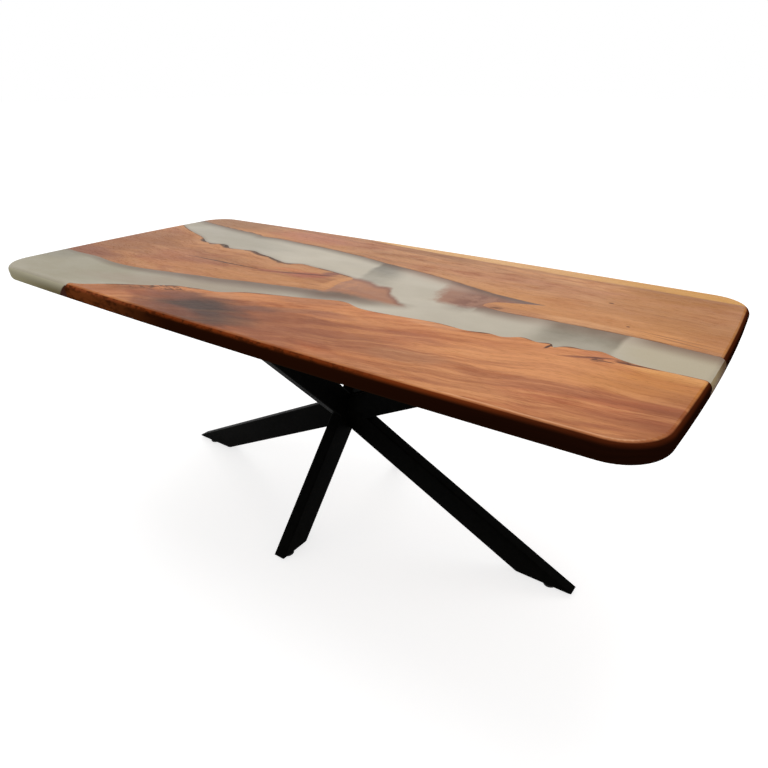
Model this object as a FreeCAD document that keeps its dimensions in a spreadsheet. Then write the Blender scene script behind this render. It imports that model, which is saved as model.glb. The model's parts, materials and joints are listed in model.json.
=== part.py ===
import FreeCAD, Part
import os

import Sketcher
from FreeCAD import Placement, Rotation, Vector

# Dining table with a river top: three live-edge wood slabs in one resin casting, on four crossed steel tubes.
# Millimetres. The origin is on the floor under the middle of the top, +X is along the length, +Z is up
# and the near long side faces -Y.

# Driving dimensions: each is one cell of the sheet, with its alias, value and meaning.
SIZES = [
    ("table_height", 760, "floor to the face of the top"),
    ("top_length", 2000, "length at the crown of the bowed ends"),
    ("top_width", 900, "width at the crown of the bowed sides"),
    ("top_thick", 40, "thickness of slabs and casting"),
    ("side_bow", 16, "how far a long side bows out past its corners"),
    ("end_bow", 15, "how far an end bows out past its corners"),
    ("corner_radius", 98, "plan radius of the four corners"),
    ("upper_rim", 17, "roundover of the upper rim"),
    ("lower_rim", 9, "roundover of the lower rim"),
    ("ledge_drop", 10, "depth of resin over a sunk ledge of wood"),
    ("tube_depth", 80, "tube section, in the upright plane of the bar"),
    ("tube_width", 40, "tube section, across the bar"),
    ("tube_wall", 3, "wall of the tubes"),
    ("tube_corner", 5, "outer corner radius of the tubes"),
    ("long_inset", 278, "end of the top to the axis of a long bar, at its plates"),
    ("cross_inset", 130, "side of the top to the axis of a cross bar, at its plates"),
    ("toe_trim", 2, "length ground off the sharp tip of a tube end"),
    ("plate_thick", 6, "thickness of the mount plates"),
    ("plate_width", 100, "width of the mount plates, across the bar"),
    ("long_plate", 260, "length of the left and right mount plates"),
    ("cross_plate", 190, "length of the front and rear mount plates"),
    ("plate_corner", 10, "corner radius of the mount plates"),
    ("hole_inset", 15, "bolt centre to the two near edges of its plate"),
    ("bolt_dia", 8, "shank of the mount bolts"),
    ("bolt_head", 13, "mount bolt head, across flats"),
    ("head_height", 5.3, "height of the mount bolt heads"),
    ("bolt_engage", 18, "length of bolt inside the top"),
    ("bolt_play", 0.5, "radial clearance of bolts and studs in their plates"),
    ("thread_play", 0.2, "radial clearance that stands for a thread"),
    ("washer_dia", 16, "outside of the mount washers"),
    ("washer_thick", 1.6, "thickness of the mount washers"),
    ("insert_dia", 12, "outside of the threaded inserts"),
    ("insert_length", 22, "length of the threaded inserts"),
    ("insert_play", 0.1, "radial clearance of an insert in its hole"),
    ("foot_gap", 10, "floor to the foot plates, feet wound in"),
    ("foot_plate", 4, "thickness of the foot plates"),
    ("long_foot_out", 18, "axis of a long bar, at its plates, out to its foot"),
    ("cross_foot_out", 15, "axis of a cross bar, at its plates, out to its foot"),
    ("nut_width", 13, "weld nuts, across flats"),
    ("nut_height", 6.5, "height of the weld nuts"),
    ("pad_dia", 40, "diameter of the glide pads"),
    ("pad_height", 6, "height of the glide pads"),
    ("pad_round", 1.5, "roundover of the upper rim of the pads"),
    ("stud_dia", 8, "shank of the levelling studs"),
    ("stud_rise", 22, "stud length above the underside of the foot plate"),
    ("stud_hex", 13, "hexagon of the studs, across flats"),
    ("stud_seat", 4, "depth of the stud's round end in its pad"),
    ("wind_gap", 0.3, "hexagon to foot plate, feet wound in"),
]

# Heights that several pieces share, as expressions on the sheet.
UNDERSIDE = "(Sizes.table_height - Sizes.top_thick)"
PLATE_FACE = f"({UNDERSIDE} - Sizes.plate_thick)"
FOOT_FACE = "(Sizes.foot_gap + Sizes.foot_plate)"
HALF_RISE = f"(({PLATE_FACE} - Sizes.foot_gap) / 2)"
CROSSING = f"(({PLATE_FACE} + Sizes.foot_gap) / 2)"

# Centre of the base to the axis of its bars, at their plates.
REACH = {
    "long": "(Sizes.top_length / 2 - Sizes.long_inset)",
    "cross": "(Sizes.top_width / 2 - Sizes.cross_inset)",
}

# Live edges in plan, as smooth curves. Where one leaves the top it crosses the rim square, to an outer point.
FRONT_EDGE = [
    (-588, -425), (-552, -414), (-506, -383), (-420, -336), (-384, -319), (-347, -295), (-320, -282),
    (-280, -274), (-234, -265), (-197, -262), (-165, -250), (-129, -226), (-97, -212), (0, -184), (96, -152),
    (138, -140), (160, -142), (193, -154), (226, -159), (270, -157), (366, -145), (414, -140), (462, -143),
    (500, -145), (527, -137), (554, -134), (572, -137), (594, -129), (614, -116), (634, -118), (654, -123),
    (672, -116), (684, -118), (691, -130), (703, -120), (729, -108), (752, -108), (779, -100), (797, -105),
    (818, -115), (845, -123), (935, -126), (978, -126),
]
MIDDLE_LOWER_EDGE = [
    (-974, -212), (-883, -218), (-783, -219), (-717, -229), (-640, -232), (-561, -226), (-488, -213),
    (-402, -196), (-325, -180), (-265, -170), (-206, -153), (-165, -144), (-75, -125), (0, -105), (39, -96),
]
MIDDLE_TIP = [(39, -96), (41, -75), (38, -54), (30, -28), (30, -8), (37, 12), (35, 30)]
MIDDLE_UPPER_EDGE = [
    (35, 30), (17, 40), (-17, 47), (-50, 53), (-100, 60), (-133, 61), (-167, 66), (-193, 67), (-218, 57),
    (-243, 50), (-267, 55), (-300, 64), (-333, 75), (-400, 90), (-437, 102), (-462, 97), (-500, 89), (-537, 87),
    (-560, 103), (-595, 111), (-628, 100), (-675, 105), (-712, 126), (-750, 146), (-812, 169), (-925, 216),
    (-974, 241),
]
REAR_EDGE = [
    (-968, 336.8), (-875, 315), (-753, 297), (-612, 280), (-562, 268), (-500, 272), (-401, 266), (-312, 260),
    (-250, 257), (-187, 248), (-110, 238), (-50, 226), (2, 214), (63, 205), (96, 198), (151, 189), (207, 177),
    (250, 168), (289, 158), (347, 143), (409, 126), (463, 118), (513, 111), (574, 107),
]
TONGUE_UPPER_EDGE = [(574, 107), (520, 88), (486, 75), (460, 63), (446, 46), (444, 23)]
TONGUE_LOWER_EDGE = [
    (444, 23), (470, 15), (500, 8), (527, 7), (560, 9), (600, 12), (652, 15), (729, 16), (797, 16), (857, 14),
    (898, 10), (940, 6), (978, 2),
]

# Outer points of the slabs, well outside the top, so that a larger top still has wood to its rim.
FRONT_OUTER = [(1400, -134.5), (1400, -640), (-592.9, -640)]
MIDDLE_OUTER = [(-1400, 257.3), (-1400, -226.4)]
REAR_OUTER = [(1400, 2.1), (1400, 640), (-1400, 640), (-1400, 360)]

# Sunk ledges in plan: where the wood of a slab goes on under the resin.
MIDDLE_LEDGE = [
    (-40, 44), (60, 38), (107, 28), (141, 16), (174, 18), (202, -18), (241, -49), (270, -73), (312, -91),
    (247, -90), (190, -86), (121, -79), (72, -86), (-40, -108),
]
REAR_LEDGE = [
    (230, 200), (287, 136), (301, 102), (302, 60), (322, 4), (350, -11), (387, 3), (433, 7), (460, 20),
    (500, 60), (600, 120), (500, 200),
]

# The four ends of the base: plan direction of each from the centre.
ENDS = {"left": (-1, 0), "right": (1, 0), "front": (0, -1), "rear": (0, 1)}

# Largest span of an edge that counts as none, in millimetres.
FLAT = 0.01

doc = FreeCAD.newDocument("ResinTable")
sheet = doc.addObject("Spreadsheet::Sheet", "Sizes")
nodes = {}


def fill_sheet():
    """Writes the driving dimensions into the sheet, one per row."""
    for row, (alias, value, meaning) in enumerate(SIZES, start=1):
        sheet.set(f"A{row}", meaning)
        sheet.set(f"B{row}", str(value))
        sheet.setAlias(f"B{row}", alias)
    doc.recompute()


def size(alias):
    """Reads one driving dimension from the sheet."""
    return float(sheet.get(alias))


def bind(obj, **expressions):
    """Binds properties of an object to expressions on the sheet."""
    for name, text in expressions.items():
        obj.setExpression(name, text)
    return obj


def place(obj, x="0", y="0", z="0"):
    """Binds the position of an object to expressions in millimetres."""
    for axis, text in (("x", x), ("y", y), ("z", z)):
        obj.setExpression(f"Placement.Base.{axis}", text)
    return obj


def box(name, x_span, y_span, z_span):
    """A box whose three spans are pairs of expressions, low and high."""
    low, high = zip(x_span, y_span, z_span)
    solid = doc.addObject("Part::Box", name)
    sides = [f"({top}) - ({bottom})" for bottom, top in zip(low, high)]
    bind(solid, Length=sides[0], Width=sides[1], Height=sides[2])
    return place(solid, *low)


def cylinder(name, radius, height, x="0", y="0", z="0"):
    """An upright cylinder with its lower face at z."""
    return place(bind(doc.addObject("Part::Cylinder", name), Radius=radius, Height=height), x, y, z)


def hexagon(name, across_flats, height, x="0", y="0", z="0"):
    """An upright hexagonal prism with its lower face at z."""
    solid = doc.addObject("Part::Prism", name)
    solid.Polygon = 6
    bind(solid, Circumradius=f"{across_flats} / sqrt(3)", Height=height)
    return place(solid, x, y, z)


def cut(name, base, tool):
    """The base without the tool."""
    result = doc.addObject("Part::Cut", name)
    result.Base, result.Tool = base, tool
    return result


def common(name, base, tool):
    """What the base and the tool share."""
    result = doc.addObject("Part::Common", name)
    result.Base, result.Tool = base, tool
    return result


def fuse(name, *shapes):
    """One solid from pieces that meet."""
    result = doc.addObject("Part::MultiFuse", name)
    result.Shapes = list(shapes)
    return result


def group(name, members):
    """Separate solids that share one node."""
    result = doc.addObject("Part::Compound", name)
    result.Links = members
    return result


def node(name, obj, solids=1):
    """Names an object as a sub-part and notes how many solids it holds."""
    obj.Label = name
    nodes[name] = (obj, solids)


def new_body(name):
    """An empty body."""
    return doc.addObject("PartDesign::Body", name)


def ground_sketch(body, name):
    """A sketch on the body's own XY plane."""
    sketch = body.newObject("Sketcher::SketchObject", name)
    plane = next(item for item in body.Origin.OriginFeatures if item.Role == "XY_Plane")
    sketch.AttachmentSupport = [(plane, "")]
    sketch.MapMode = "FlatFace"
    return sketch


def constrain(sketch, *values, expression=None):
    """Adds one constraint, bound to an expression where it has one."""
    index = sketch.addConstraint(Sketcher.Constraint(*values))
    if expression:
        sketch.setExpression(f"Constraints[{index}]", expression)


def pad(body, sketch, length, symmetric=False):
    """Pads a sketch, to both sides of its plane where it is symmetric."""
    feature = body.newObject("PartDesign::Pad", f"{body.Name}_pad")
    feature.Profile = sketch
    if symmetric:
        feature.SideType = "Symmetric"
    bind(feature, Length=length)
    sketch.Visibility = False
    doc.recompute()
    return feature


def fillet(body, feature, name, wanted, radius):
    """Rounds the edges of a feature that a test picks."""
    picked = [f"Edge{i}" for i, edge in enumerate(feature.Shape.Edges, start=1) if wanted(edge)]
    rounded = body.newObject("PartDesign::Fillet", f"{body.Name}_{name}")
    rounded.Base = (feature, picked)
    bind(rounded, Radius=radius)
    doc.recompute()
    return rounded


def upright(edge):
    """Whether an edge stands straight up."""
    return edge.BoundBox.XLength < FLAT and edge.BoundBox.YLength < FLAT


def centred_rectangle(sketch, length, width):
    """Draws a rectangle about the sketch's origin, its sides bound to two expressions."""
    corners = [Vector(-10, -10), Vector(10, -10), Vector(10, 10), Vector(-10, 10)]
    for i in range(4):
        sketch.addGeometry(Part.LineSegment(corners[i], corners[(i + 1) % 4]))
    for i in range(4):
        constrain(sketch, "Coincident", i, 2, (i + 1) % 4, 1)
        constrain(sketch, "Horizontal" if i % 2 == 0 else "Vertical", i)
    constrain(sketch, "Symmetric", 0, 1, 2, 1, -1, 1)
    constrain(sketch, "DistanceX", 0, 1, 0, 2, 20, expression=length)
    constrain(sketch, "DistanceY", 1, 1, 1, 2, 20, expression=width)


def top_blank():
    """The top before its slabs are told apart: bowed sides and ends, round corners and round rims."""
    body = new_body("top_blank")
    sketch = ground_sketch(body, "top_outline")
    half_length, half_width = size("top_length") / 2, size("top_width") / 2
    corner_x, corner_y = half_length - size("end_bow"), half_width - size("side_bow")
    signs = [(-1, -1), (1, -1), (1, 1), (-1, 1)]
    crowns = [Vector(0, -half_width), Vector(half_length, 0), Vector(0, half_width), Vector(-half_length, 0)]
    corners = [Vector(x * corner_x, y * corner_y) for x, y in signs]
    for i in range(4):
        sketch.addGeometry(Part.Arc(corners[i], crowns[i], corners[(i + 1) % 4]))
    half_x = "(Sizes.top_length / 2 - Sizes.end_bow)"
    half_y = "(Sizes.top_width / 2 - Sizes.side_bow)"
    for i, (x, y) in enumerate(signs):
        constrain(sketch, "Coincident", i, 2, (i + 1) % 4, 1)
        spans = (("DistanceX", x, corner_x, half_x), ("DistanceY", y, corner_y, half_y))
        for kind, sign, value, text in spans:
            ends = (-1, 1, i, 1) if sign > 0 else (i, 1, -1, 1)
            constrain(sketch, kind, *ends, value, expression=text)
    for i in range(4):
        half_chord, bow = (half_x, "Sizes.side_bow") if i % 2 == 0 else (half_y, "Sizes.end_bow")
        radius = sketch.Geometry[i].Radius
        constrain(sketch, "Radius", i, radius, expression=f"({half_chord}^2 + {bow}^2) / (2 * {bow})")
    slab = pad(body, sketch, "Sizes.top_thick")
    slab_face = size("top_thick") - FLAT
    slab = fillet(body, slab, "corners", upright, "Sizes.corner_radius")
    slab = fillet(body, slab, "upper_rim", lambda edge: edge.BoundBox.ZMin > slab_face, "Sizes.upper_rim")
    fillet(body, slab, "lower_rim", lambda edge: edge.BoundBox.ZMax < FLAT, "Sizes.lower_rim")
    return place(body, z=UNDERSIDE)


def curve(points):
    """A smooth edge through plan points."""
    spline = Part.BSplineCurve()
    spline.interpolate([Vector(x, y) for x, y in points])
    return spline.toShape()


def straight(points):
    """Straight edges through plan points."""
    return [Part.makeLine(Vector(*a), Vector(*b)) for a, b in zip(points, points[1:])]


def plan_prism(name, edges, drop=0.0):
    """An upright prism on a closed plan outline, as tall as the top less a drop from its face."""
    outline = Part.Face(Part.Wire(Part.__sortEdges__(edges)))
    base = size("table_height") - size("top_thick")
    prism = doc.addObject("Part::Feature", name)
    prism.Shape = outline.extrude(Vector(0, 0, size("top_thick") - drop))
    prism.Placement = Placement(Vector(0, 0, base), Rotation())
    return prism


def slab_prism(name, live_edges, outer):
    """A slab's prism: its live edges in turn, closed by straight lines through its outer points."""
    ends = [live_edges[-1][-1]] + outer + [live_edges[0][0]]
    return plan_prism(name, [curve(points) for points in live_edges] + straight(ends))


def ledge_prism(name, points):
    """A sunk ledge: a prism that stops short of the face of the top."""
    outline = curve(points + points[:1])
    return plan_prism(name, [outline], size("ledge_drop"))


def bar_of(end):
    """Which bars an end of the base belongs to."""
    return "long" if ENDS[end][0] else "cross"


def end_places(end):
    """Plan expressions of a plate's centre, its four bolts and its foot, for one end of the base."""
    x, y = ENDS[end]
    bar = bar_of(end)
    foot = f"({REACH[bar]} + Sizes.{bar}_foot_out)"
    along = f"(Sizes.{bar}_plate / 2 - Sizes.hole_inset)"
    across = "(Sizes.plate_width / 2 - Sizes.hole_inset)"
    step_x, step_y = (along, across) if x else (across, along)
    centre = (f"{x} * {REACH[bar]}", f"{y} * {REACH[bar]}")
    bolts = [
        (f"{centre[0]} + {i} * {step_x}", f"{centre[1]} + {j} * {step_y}") for i in (-1, 1) for j in (-1, 1)
    ]
    return centre, bolts, (f"{x} * {foot}", f"{y} * {foot}")


def all_bolt_places():
    """Plan expressions of every mount bolt."""
    return [spot for end in ENDS for spot in end_places(end)[1]]


def river_top():
    """Three slabs and the resin that fills the rest of the blank, drilled for the inserts."""
    radius = "Sizes.insert_dia / 2 + Sizes.insert_play"
    holes = [
        cylinder(f"insert_hole_{i}", radius, "Sizes.insert_length", x, y, UNDERSIDE)
        for i, (x, y) in enumerate(all_bolt_places())
    ]
    blank = cut("drilled_blank", top_blank(), group("insert_holes", holes))
    front = slab_prism("front_prism", [FRONT_EDGE], FRONT_OUTER)
    middle = slab_prism("middle_prism", [MIDDLE_LOWER_EDGE, MIDDLE_TIP, MIDDLE_UPPER_EDGE], MIDDLE_OUTER)
    rear = slab_prism("rear_prism", [REAR_EDGE, TONGUE_UPPER_EDGE, TONGUE_LOWER_EDGE], REAR_OUTER)
    wood = {
        "front_slab": front,
        "middle_slab": fuse("middle_wood", middle, ledge_prism("middle_ledge", MIDDLE_LEDGE)),
        "rear_slab": fuse("rear_wood", rear, ledge_prism("rear_ledge", REAR_LEDGE)),
    }
    resin = blank
    for name, prism in wood.items():
        node(name, common(name, blank, prism))
        resin = cut(f"resin_beside_{name}", resin, prism)
    node("resin_casting", resin)


def tube_bar(name, end, inset="0"):
    """A straight bar through the crossing, rising towards one end, its section inset all round."""
    x, y = ENDS[end]
    reach = REACH[bar_of(end)]
    body = new_body(name)
    sketch = ground_sketch(body, f"{name}_section")
    depth, width = f"Sizes.tube_depth - 2 * ({inset})", f"Sizes.tube_width - 2 * ({inset})"
    centred_rectangle(sketch, *((depth, width) if x else (width, depth)))
    bar = pad(body, sketch, f"2 * ({reach} + {HALF_RISE})", symmetric=True)
    fillet(body, bar, "corners", upright, f"max(Sizes.tube_corner - ({inset}); Sizes.tube_corner / 5)")
    body.Placement = Placement(Vector(), Rotation(Vector(-y, x, 0), 45))
    body.setExpression("Placement.Rotation.Angle", f"atan({reach} / {HALF_RISE})")
    return place(body, z=CROSSING)


def bar_span(end):
    """Plan spans, low and high, from the crossing out to the trimmed tip of a bar at one end."""
    x, y = ENDS[end]
    reach = REACH[bar_of(end)]
    tip = f"({reach} + Sizes.tube_depth / 2 * sqrt(1 + ({reach} / {HALF_RISE})^2) - Sizes.toe_trim)"
    side = ("-Sizes.tube_width", "Sizes.tube_width")
    outward = ("0", tip) if x + y > 0 else (f"-{tip}", "0")
    return (outward, side) if x else (side, outward)


def crossed_base():
    """Four crossed tubes: one whole long bar, the others in halves cut to it and to each other."""
    ends = {"right": "left", "left": "right", "front": "rear", "rear": "front"}
    bars = {end: tube_bar(f"bar_to_{end}", end) for end in ends}
    cores = {end: tube_bar(f"core_to_{end}", end, "Sizes.tube_wall") for end in ends}
    lower, upper = (FOOT_FACE, CROSSING), (CROSSING, PLATE_FACE)

    long_span = (bar_span("left")[0][0], bar_span("right")[0][1])
    whole = box("whole_bar_space", long_span, bar_span("right")[1], (FOOT_FACE, PLATE_FACE))
    trimmed = common("whole_bar", bars["right"], whole)
    node("long_bar", cut("long_bar", trimmed, cores["right"]))

    halves = {
        "right_lower_leg": ("right", lower, "left"),
        "left_upper_arm": ("left", upper, "left"),
        "front_lower_leg": ("front", lower, "rear"),
        "rear_upper_arm": ("rear", upper, "rear"),
        "rear_lower_leg": ("rear", lower, "front"),
        "front_upper_arm": ("front", upper, "front"),
    }
    for name, (side, z_span, bar) in halves.items():
        space = box(f"{name}_space", *bar_span(side), z_span)
        half = cut(f"{name}_tube", common(f"{name}_trimmed", bars[bar], space), cores[bar])
        half = cut(f"{name}_mitre", half, bars["right"])
        if side in ("front", "rear"):
            half = cut(f"{name}_saddle", half, bars["left"])
        node(name, half)

    for end, far_end in ends.items():
        x, y = end_places(end)[2]
        space = box(f"{end}_plate_space", *bar_span(end), ("Sizes.foot_gap", FOOT_FACE))
        plate = common(f"{end}_foot_blank", bars[far_end], space)
        radius = "Sizes.stud_dia / 2 + Sizes.bolt_play"
        hole = cylinder(f"{end}_foot_hole", radius, "Sizes.foot_plate", x, y, "Sizes.foot_gap")
        node(f"{end}_foot_plate", cut(f"{end}_foot_plate", plate, hole))


def mount_plate(end):
    """The plate at the top of one arm, with four bolt holes."""
    name = f"{end}_mount_plate"
    length = f"Sizes.{bar_of(end)}_plate"
    body = new_body(name)
    sketch = ground_sketch(body, f"{name}_outline")
    sides = (length, "Sizes.plate_width") if ENDS[end][0] else ("Sizes.plate_width", length)
    centred_rectangle(sketch, *sides)
    for i in (-1, 1):
        for j in (-1, 1):
            hole = sketch.addGeometry(Part.Circle(Vector(8 * i, 8 * j), Vector(0, 0, 1), 1))
            constrain(sketch, "Radius", hole, 1, expression="Sizes.bolt_dia / 2 + Sizes.bolt_play")
            for kind, sign, side in (("DistanceX", i, sides[0]), ("DistanceY", j, sides[1])):
                ends = (-1, 1, hole, 3) if sign > 0 else (hole, 3, -1, 1)
                constrain(sketch, kind, *ends, 8, expression=f"{side} / 2 - Sizes.hole_inset")
    plate = pad(body, sketch, "Sizes.plate_thick")

    def corner(edge):
        """Whether an edge stands at a corner of the plate, not in a hole."""
        return upright(edge) and isinstance(edge.Curve, Part.Line)

    fillet(body, plate, "corners", corner, "Sizes.plate_corner")
    x, y = end_places(end)[0]
    node(name, place(body, x, y, PLATE_FACE))


def top_fasteners():
    """A hexagon bolt, a washer and a threaded insert at each hole of the mount plates."""
    washer_face = f"{PLATE_FACE} - Sizes.washer_thick"
    head_face = f"{washer_face} - Sizes.head_height"
    shank_length = "Sizes.washer_thick + Sizes.plate_thick + Sizes.bolt_engage"
    eye_radius = "Sizes.bolt_dia / 2 + Sizes.bolt_play"
    sleeve_radius = "Sizes.insert_dia / 2"
    bore_radius = "Sizes.bolt_dia / 2 + Sizes.thread_play"
    bolts, washers, inserts = [], [], []
    for i, (x, y) in enumerate(all_bolt_places()):
        head = hexagon(f"bolt_head_{i}", "Sizes.bolt_head", "Sizes.head_height", x, y, head_face)
        shank = cylinder(f"bolt_shank_{i}", "Sizes.bolt_dia / 2", shank_length, x, y, washer_face)
        bolts.append(fuse(f"bolt_{i}", head, shank))
        disc = cylinder(f"washer_disc_{i}", "Sizes.washer_dia / 2", "Sizes.washer_thick", x, y, washer_face)
        eye = cylinder(f"washer_eye_{i}", eye_radius, "Sizes.washer_thick", x, y, washer_face)
        washers.append(cut(f"washer_{i}", disc, eye))
        sleeve = cylinder(f"insert_sleeve_{i}", sleeve_radius, "Sizes.insert_length", x, y, UNDERSIDE)
        bore = cylinder(f"insert_bore_{i}", bore_radius, "Sizes.insert_length", x, y, UNDERSIDE)
        inserts.append(cut(f"insert_{i}", sleeve, bore))
    for name, members in (("mount_bolts", bolts), ("mount_washers", washers), ("threaded_inserts", inserts)):
        node(name, group(name, members), solids=len(members))


def levelling_feet():
    """A weld nut inside each tube end, and below it a stud that turns in a round pad."""
    nuts = []
    for end in ENDS:
        x, y = end_places(end)[2]
        thread = "Sizes.stud_dia / 2 + Sizes.thread_play"
        nut = hexagon(f"{end}_nut", "Sizes.nut_width", "Sizes.nut_height", x, y, FOOT_FACE)
        bore = cylinder(f"{end}_nut_bore", thread, "Sizes.nut_height", x, y, FOOT_FACE)
        nuts.append(cut(f"{end}_weld_nut", nut, bore))

        seat = "Sizes.pad_height - Sizes.stud_seat"
        disc = cylinder(f"{end}_pad_disc", "Sizes.pad_dia / 2", "Sizes.pad_height", x, y)
        doc.recompute()
        upper_rim = max(range(len(disc.Shape.Edges)), key=lambda i: disc.Shape.Edges[i].CenterOfMass.z)
        rounded = doc.addObject("Part::Fillet", f"{end}_pad_round")
        rounded.Base = disc
        rounded.Edges = [(upper_rim + 1, size("pad_round"), size("pad_round"))]
        socket = cylinder(f"{end}_pad_socket", thread, "Sizes.stud_seat", x, y, seat)
        node(f"{end}_glide_pad", cut(f"{end}_glide_pad", rounded, socket))

        collar_height = "Sizes.foot_gap - Sizes.pad_height - Sizes.wind_gap"
        collar = hexagon(f"{end}_stud_hex", "Sizes.stud_hex", collar_height, x, y, "Sizes.pad_height")
        shank_length = f"Sizes.foot_gap + Sizes.stud_rise - ({seat}) - Sizes.thread_play"
        shank = cylinder(
            f"{end}_stud_shank", "Sizes.stud_dia / 2", shank_length, x, y, f"{seat} + Sizes.thread_play"
        )
        node(f"{end}_glide_stud", fuse(f"{end}_glide_stud", collar, shank))
    node("foot_weld_nuts", group("foot_weld_nuts", nuts), solids=len(nuts))


def check_and_export():
    """Stops on any failed object or sub-part, then writes one file per sub-part."""
    doc.recompute()
    failed = [obj.Name for obj in doc.Objects if "Invalid" in obj.State or "Error" in obj.State]
    if failed:
        raise RuntimeError(f"objects that failed: {failed}")
    for name, (obj, solids) in nodes.items():
        shape = obj.Shape
        if shape.isNull() or not shape.isValid():
            raise RuntimeError(f"{name} has no valid shape")
        if len(shape.Solids) != solids:
            raise RuntimeError(f"{name} has {len(shape.Solids)} solids, not {solids}")
    os.makedirs("parts", exist_ok=True)
    for name, (obj, solids) in nodes.items():
        obj.Shape.exportStep(f"parts/{name}.step")
        print(f"{name}: {solids} solid(s), {obj.Shape.Volume / 1000:.1f} cm3")


fill_sheet()
river_top()
crossed_base()
for end in ENDS:
    mount_plate(end)
top_fasteners()
levelling_feet()
check_and_export()
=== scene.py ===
"""Studio scene of a dining table: a river top of three live-edge slabs in resin, on crossed steel tubes.

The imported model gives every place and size, in metres. This script gives each piece its finish, models the
small hardware more closely, and sets the camera, the floor and the light.
"""

import json
import logging
import math
from dataclasses import dataclass
from enum import Enum
from typing import Sequence

import bpy
from mathutils import Matrix, Vector

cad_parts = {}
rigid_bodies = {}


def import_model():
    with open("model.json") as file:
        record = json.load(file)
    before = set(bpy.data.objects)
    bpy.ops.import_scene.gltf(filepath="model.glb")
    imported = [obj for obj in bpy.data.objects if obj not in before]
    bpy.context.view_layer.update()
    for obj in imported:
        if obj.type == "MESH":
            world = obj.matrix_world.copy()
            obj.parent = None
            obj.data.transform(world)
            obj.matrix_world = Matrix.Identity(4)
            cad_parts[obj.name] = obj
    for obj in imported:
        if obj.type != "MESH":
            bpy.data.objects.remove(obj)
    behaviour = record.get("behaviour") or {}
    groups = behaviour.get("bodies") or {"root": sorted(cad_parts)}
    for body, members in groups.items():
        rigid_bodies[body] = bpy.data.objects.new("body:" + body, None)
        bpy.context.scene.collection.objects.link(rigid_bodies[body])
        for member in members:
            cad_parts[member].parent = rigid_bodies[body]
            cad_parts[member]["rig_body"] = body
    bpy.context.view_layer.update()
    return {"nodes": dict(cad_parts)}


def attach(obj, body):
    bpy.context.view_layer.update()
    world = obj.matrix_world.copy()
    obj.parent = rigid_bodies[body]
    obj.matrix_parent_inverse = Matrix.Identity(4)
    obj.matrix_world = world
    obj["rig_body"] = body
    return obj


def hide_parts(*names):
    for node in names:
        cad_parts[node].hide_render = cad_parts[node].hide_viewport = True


LOG = logging.getLogger("river_table")
Colour = tuple[float, float, float, float]
Point = tuple[float, float]
Socket = bpy.types.NodeSocket
Sockets = bpy.types.bpy_prop_collection
Node = bpy.types.Node
Tree = bpy.types.NodeTree
Material = bpy.types.Material
Piece = bpy.types.Object
Feed = object

# Heights, in metres: the faces of the top, where the stain of the sides comes in, where the painted highlight
# on the upper rim gives way to the deep stain below, and where the near rim bends over and carries its
# painted highlight.
TOP_FACE = 0.760
UNDERSIDE = 0.720
RIM_BARE = TOP_FACE - 0.0009
RIM_STAINED = TOP_FACE - 0.0026
RIM_WARM = TOP_FACE - 0.0028
RIM_DEEP = TOP_FACE - 0.0105
BEND_START = TOP_FACE - 0.00003
BEND_FULL = TOP_FACE - 0.00015
BEND_FADING = TOP_FACE - 0.0004
# Heights of the painted reflection of the floor, which lightens the foot of the sides.
FLOOR_REFLECTION_TOP = UNDERSIDE + 0.0090
FLOOR_REFLECTION_LOW = UNDERSIDE + 0.0010
UNDER_STAINED = UNDERSIDE + 0.0014
UNDER_BARE = UNDERSIDE + 0.0002

# A face whose normal stands less upright than this has the finish of the sides: in the resin and in the wood.
RESIN_SIDE_TILT = 0.72
WOOD_SIDE_TILT = 0.985

# Angles up to which edges are shaded smooth, in degrees, and how close points are merged, in metres.
SMOOTH_COPY = 32.0
SMOOTH_HARDWARE = 28.0
MERGE_DISTANCE = 0.000005

# Angles, in degrees, up to which faces count as one flat and from which an edge is eased.
FLAT_ANGLE = 1.0
EASED_ANGLE = 50.0

# Hardware is modelled in millimetres on the upright axis, and merged at this distance.
MILLIMETRE = 0.001
MERGE_MILLIMETRES = 0.0005

# Value of a curve node that stands for a line's y of 0.
CURVE_MIDDLE = 0.5
WHITE = (1.0, 1.0, 1.0, 1.0)

# Live edges of the slabs in plan, from the left end to the right, in metres.
FRONT_LINE: tuple[Point, ...] = (
    (-1.0, -0.70), (-0.588, -0.430), (-0.506, -0.383), (-0.420, -0.336), (-0.347, -0.295), (-0.320, -0.282),
    (-0.234, -0.265), (-0.197, -0.262), (-0.129, -0.226), (0.0, -0.184), (0.138, -0.140), (0.160, -0.142),
    (0.226, -0.159), (0.414, -0.140), (0.500, -0.145), (0.554, -0.134), (0.614, -0.116), (0.654, -0.123),
    (0.680, -0.117), (0.691, -0.130), (0.703, -0.120), (0.752, -0.108), (0.779, -0.100), (0.818, -0.115),
    (0.845, -0.123), (1.0, -0.126),
)
MIDDLE_LOWER_LINE: tuple[Point, ...] = (
    (-1.0, -0.212), (-0.783, -0.219), (-0.717, -0.229), (-0.640, -0.232), (-0.561, -0.226), (-0.402, -0.196),
    (-0.265, -0.170), (-0.206, -0.153), (-0.165, -0.144), (-0.075, -0.125), (0.0, -0.105), (0.039, -0.096),
    (0.072, -0.087), (0.120, -0.078), (0.193, -0.087), (0.312, -0.092),
)
MIDDLE_UPPER_LINE: tuple[Point, ...] = (
    (-1.0, 0.254), (-0.925, 0.216), (-0.812, 0.169), (-0.750, 0.146), (-0.712, 0.126), (-0.675, 0.105),
    (-0.628, 0.100), (-0.595, 0.111), (-0.537, 0.087), (-0.500, 0.089), (-0.437, 0.102), (-0.400, 0.090),
    (-0.300, 0.064), (-0.243, 0.050), (-0.193, 0.067), (-0.133, 0.061), (-0.050, 0.053), (0.017, 0.040),
    (0.072, 0.038), (0.111, 0.028), (0.141, 0.016), (0.164, 0.021), (0.178, 0.014), (0.202, -0.020),
    (0.241, -0.049), (0.270, -0.073), (0.312, -0.092),
)
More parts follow.
